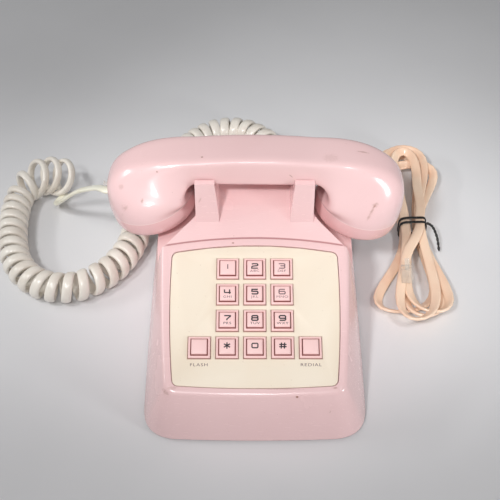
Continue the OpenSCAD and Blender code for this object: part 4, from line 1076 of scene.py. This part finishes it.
def handset():
    fan = [-CUP_TILT + (90 + CUP_TILT) * i / FAN_STEPS for i in range(FAN_STEPS + 1)]
    rings = [fan_ring(a, -1) for a in fan] + [handle_ring(x) for x in HANDLE_RINGS]
    rings += [fan_ring(a, 1) for a in fan[::-1]]
    shell = solid("handset_shell", lofted(rings))
    pocket = IN_HANDSET @ Matrix.Translation((HANDSET_JACK_X, 0, HANDSET_JACK_Z))
    half_w, half_h = JACK_W / 2 + 0.1, JACK_H / 2 + 0.1
    carved(shell, "DIFFERENCE",
           block((-10, -half_w, -half_h), (JACK_DEPTH + 0.1, half_w, half_h), pocket))
    finished(shell, handset_paint, "handset", "pink_plastic", ["handset_body"])


housing()
handset()
for cup in ("ear_cap", "mouth_cap"):
    polished(cup, cap_paint, "pink_plastic", 0, 24)


# --- keypad
PRINT_RISE = 0.03                # the ink's height over what it is printed on
STRIPS, STRIP_W = 9, 0.25        # strips to each side of a key's middle that follow its crown
LABEL_DROP = 10.8                # from a key's middle down to the word under it
THIN, USUAL, THICK = 0.66, 0.78, 0.88
WORN, BOLD = "136", "589"        # the keys whose print is worn thin, and still bold
KEYS = {f"key_{i + 1}": (i % 3 - 1, i // 3, str(i + 1), letters)
        for i, letters in enumerate(" ABC DEF GHI JKL MNO PRS TUV WXY".split(" "))}
KEYS |= {"key_star": (-1, 3, "*", ""), "key_0": (0, 3, "0", ""), "key_hash": (1, 3, "#", ""),
         "key_flash": (-2, 3, "", ""), "key_redial": (2, 3, "", "")}

# Strokes of the wide squared numerals on a 4 by 3 mm field: x,y from its middle
NUMERALS = {
    "1": ["0,-1.5 0,1.5"],
    "2": ["-1.8,1 -1.4,1.5 1.4,1.5 1.9,1 1.9,.6 1.4,.15 -1.3,-.15 -1.9,-.6 -1.9,-1.5 2,-1.5"],
    "3": ["-1.8,1.5 1.4,1.5 1.9,1.1 1.9,.4 1.5,.05 -.8,.05",
          "1.5,.05 1.9,-.35 1.9,-1.1 1.4,-1.5 -1.8,-1.5"],
    "4": ["-1.9,1.5 -1.9,-.3 -1.6,-.6 2.1,-.6", "1.3,1.5 1.3,-1.5"],
    "5": ["1.9,1.5 -1.8,1.5 -1.8,.2 1.4,.2 1.9,-.3 1.9,-1 1.4,-1.5 -1.4,-1.5 -1.9,-1.1"],
    "6": ["1.7,1.3 1.4,1.5 -1.3,1.5 -1.9,1 -1.9,-1 -1.4,-1.5 1.4,-1.5 1.9,-1 1.9,-.3 1.4,.2 "
          "-1.9,.2"],
    "7": ["-1.9,1.5 1.9,1.5 1.9,1.1 -.2,-.7 -.2,-1.5"],
    "8": ["-1.3,.1 -1.8,.5 -1.8,1.1 -1.3,1.5 1.3,1.5 1.8,1.1 1.8,.5 1.3,.1 -1.3,.1 -1.9,-.35 "
          "-1.9,-1.05 -1.4,-1.5 1.4,-1.5 1.9,-1.05 1.9,-.35 1.3,.1"],
    "9": ["-1.7,-1.3 -1.4,-1.5 1.3,-1.5 1.9,-1 1.9,1 1.4,1.5 -1.4,1.5 -1.9,1 -1.9,.3 -1.4,-.2 "
          "1.9,-.2"],
    "0": ["-1.3,1.4 1.3,1.4 1.8,.9 1.8,-.9 1.3,-1.4 -1.3,-1.4 -1.8,-.9 -1.8,.9 -1.3,1.4"],
    "*": ["0,1.7 0,-1.7", "-1.6,.9 1.6,-.9", "-1.6,-.9 1.6,.9"],
    "#": ["-.7,1.6 -.9,-1.6", ".9,1.6 .7,-1.6", "-1.9,.6 1.9,.6", "-1.9,-.6 1.9,-.6"]}


def key_place(column_at, row):
    return column_at * KEY_PITCH_X, KEY_MID + (1.5 - row) * KEY_PITCH_Y


def strokes(lines, grown, thick, up):
    """Flat lines of ink along polylines, as one bmesh in mm, set up the face by up."""
    ink = bmesh.new()
    for line in lines:
        pairs = [[float(part) for part in pair.split(",")] for pair in line.split()]
        points = [Vector((x * grown, y * grown + up, 0)) for x, y in pairs]
        closed = (points[0] - points[-1]).length < 1e-6
        if closed:
            points = points[:-1]
        count = len(points)
        rails = []
        for i, point in enumerate(points):
            ways = []
            if closed or i:
                ways.append((point - points[i - 1]).normalized())
            if closed or i < count - 1:
                ways.append((points[(i + 1) % count] - point).normalized())
            way = sum(ways, Vector()).normalized()
            across = Vector((-way.y, way.x, 0))
            reach = thick / 2 / max(0.5, across.dot(Vector((-ways[0].y, ways[0].x, 0))))
            rails.append([ink.verts.new(point + across * far) for far in (-reach, reach)])
        for (a, b), (c, d) in zip(rails, rails[1:] + rails[:1] * closed):
            ink.faces.new((a, c, d, b))
    return ink


def lettering(words, size, up, wide):
    """Words as a flat bmesh in mm, centred, and set up the face by up."""
    text = bpy.data.curves.new("words", "FONT")
    text.body, text.size, text.space_character = words, size, 1.15
    text.align_x, text.align_y = "CENTER", "CENTER"
    writer = linked("words", text)
    mesh = evaluated(writer)
    bpy.data.objects.remove(writer)
    flat = bmesh.new()
    flat.from_mesh(mesh)
    bpy.data.meshes.remove(mesh)
    return moved(flat, Matrix.Translation((0, up, 0)) @ Matrix.Diagonal((wide, 1, 1, 1)))


def printed(name, ink, paint, middle, level, crown, body):
    """Lays flat ink on the face at a level, following the crown of a key."""
    for i in range(-STRIPS, STRIPS + 1) if crown else ():
        bmesh.ops.bisect_plane(ink, geom=ink.verts[:] + ink.edges[:] + ink.faces[:], dist=1e-5,
                               plane_co=(i * STRIP_W, 0, 0), plane_no=(1, 0, 0))
    for vert in ink.verts:
        drop = crown - sqrt(crown ** 2 - vert.co.x ** 2) if crown else 0
        vert.co = Vector((middle[0] + vert.co.x, middle[1] + vert.co.y, level + PRINT_RISE - drop))
    for face in moved(ink, Matrix.Scale(MM, 4) @ ON_FACE).faces:
        face.normal_update()
        if face.normal.dot(FACE_UP) < 0:
            face.normal_flip()
    made(name, ink, paint, body, None)


for key, (column_at, row, numeral, letters) in KEYS.items():
    polished(key, key_paint, "key_plastic", 0.35)
    middle = key_place(column_at, row)
    if numeral:
        thick = THIN if numeral in WORN else THICK if numeral in BOLD else USUAL
        ink = strokes(NUMERALS[numeral], 1.18 if numeral in "*#" else 1.0, thick,
                      0.9 if letters else 0.5)
        printed(key + "_numeral", ink, faint_paint if numeral in WORN else print_paint, middle,
                KEY_TOP, KEY_CROWN, key)
    if letters:
        printed(key + "_letters", lettering(letters, 2.15, -2.45, 1.35),
                print_paint if row == 2 else faint_paint, middle, KEY_TOP, KEY_CROWN, key)

polished("key_surround", collar_paint, "pink_plastic", 0.3)
polished("faceplate", cream_paint, "cream_plastic", 0.3)
for words in ("FLASH", "REDIAL"):
    x, y = key_place(*KEYS["key_" + words.lower()][:2])
    printed(words.lower() + "_label", lettering(words, 2.6, 0, 1.38), faint_paint,
            (x, y - LABEL_DROP), -PLATE_DROP, 0, "base")


# --- the rest of the base
for paint, slot, bevel, names in ((rubber_paint, "black_rubber", 0.2, "rubber_feet"),
        (dark_paint, "dark_plastic", 0.3, "base_plate"),
        (dark_paint, "dark_plastic", 0.2, "ringer hook_switch cord_jack line_jack handset_jack"),
        (steel_paint, "steel", 0.1, "case_screws"),
        (steel_paint, "steel", 0, "keypad_screws hook_spring"),
        (mat_paint, "grey_rubber", 0, "key_mat"), (board_paint, "board_green", 0, "keypad_board"),
        (board_paint, "board_green", 0.2, "main_board"),
        (white_paint, "white_plastic", 0.3, "hook_bail"),
        (capsule_paint, "capsule_grey", 0.3, "receiver transmitter"),
        (iron_paint, "weight_steel", 0.4, "handset_weight"),
        (clear_paint, "clear_plastic", 0.2, "handset_plug base_plug line_lead_plug")):
    for node in names.split():
        polished(node, paint, slot, bevel)


# --- floor, lights
LAMPS = [                        # name, kind, place, aim, size in metres, watts, cone in degrees
    ("key", "SPOT", (-0.28, -0.5, 0.8), (0.01, 0.045, 0.10), 0.05, 18.5, 27),
    ("fill", "AREA", (0.0, -0.45, 0.8), (0, 0.02, 0.06), (0.15, 0.15), 1.1, 0),
    ("left_panel", "AREA", (-0.7, 0.06, 0.45), (-0.057, -0.03, 0.05), (0.3, 0.06), 1.1, 0),
    ("right_window", "AREA", (0.645, -0.424, 0.255), (0.08, 0.04, 0.09), (0.14, 0.14), 1.5, 0),
    ("front_window", "SPOT", (-0.213, -0.537, 0.162), (-0.063, 0.0388, 0.0965), 0.015, 1.4, 5),
    ("curls_lamp", "SPOT", (-0.42, -0.2, 0.75), (-0.16, 0.09, 0.0), 0.06, 8.0, 24),
    ("hank_lamp", "SPOT", (0.36, -0.3, 0.75), (0.14, 0.08, 0.0), 0.06, 8.0, 22)]
WORLD_STRENGTH = 0.27


def studio():
    bm = bmesh.new()
    bmesh.ops.create_grid(bm, x_segments=1, y_segments=1, size=3)
    paint = stuff("pale_floor", (226, 226, 228), 0.7, 4, 0.02, 0.985)
    floor = made("floor", bm, paint, None, None)
    world = bpy.data.worlds.new("studio")
    world.use_nodes = True
    sky = world.node_tree.nodes["Background"].inputs
    sky["Color"].default_value, sky["Strength"].default_value = (1, 1, 1, 1), WORLD_STRENGTH
    bpy.context.scene.world = world
    for name, kind, at, aim, size, power, cone in LAMPS:
        light = bpy.data.lights.new(name, kind)
        light.energy = power
        if cone:
            light.shadow_soft_size, light.spot_size, light.spot_blend = size, radians(cone), 1
        else:
            light.shape = "RECTANGLE"
            light.size, light.size_y = size
        lamp = linked(name, light)
        lamp.location = at
        lamp.rotation_euler = (Vector(aim) - Vector(at)).to_track_quat("-Z", "Y").to_euler()


studio()
bpy.context.scene.view_settings.view_transform = "Standard"
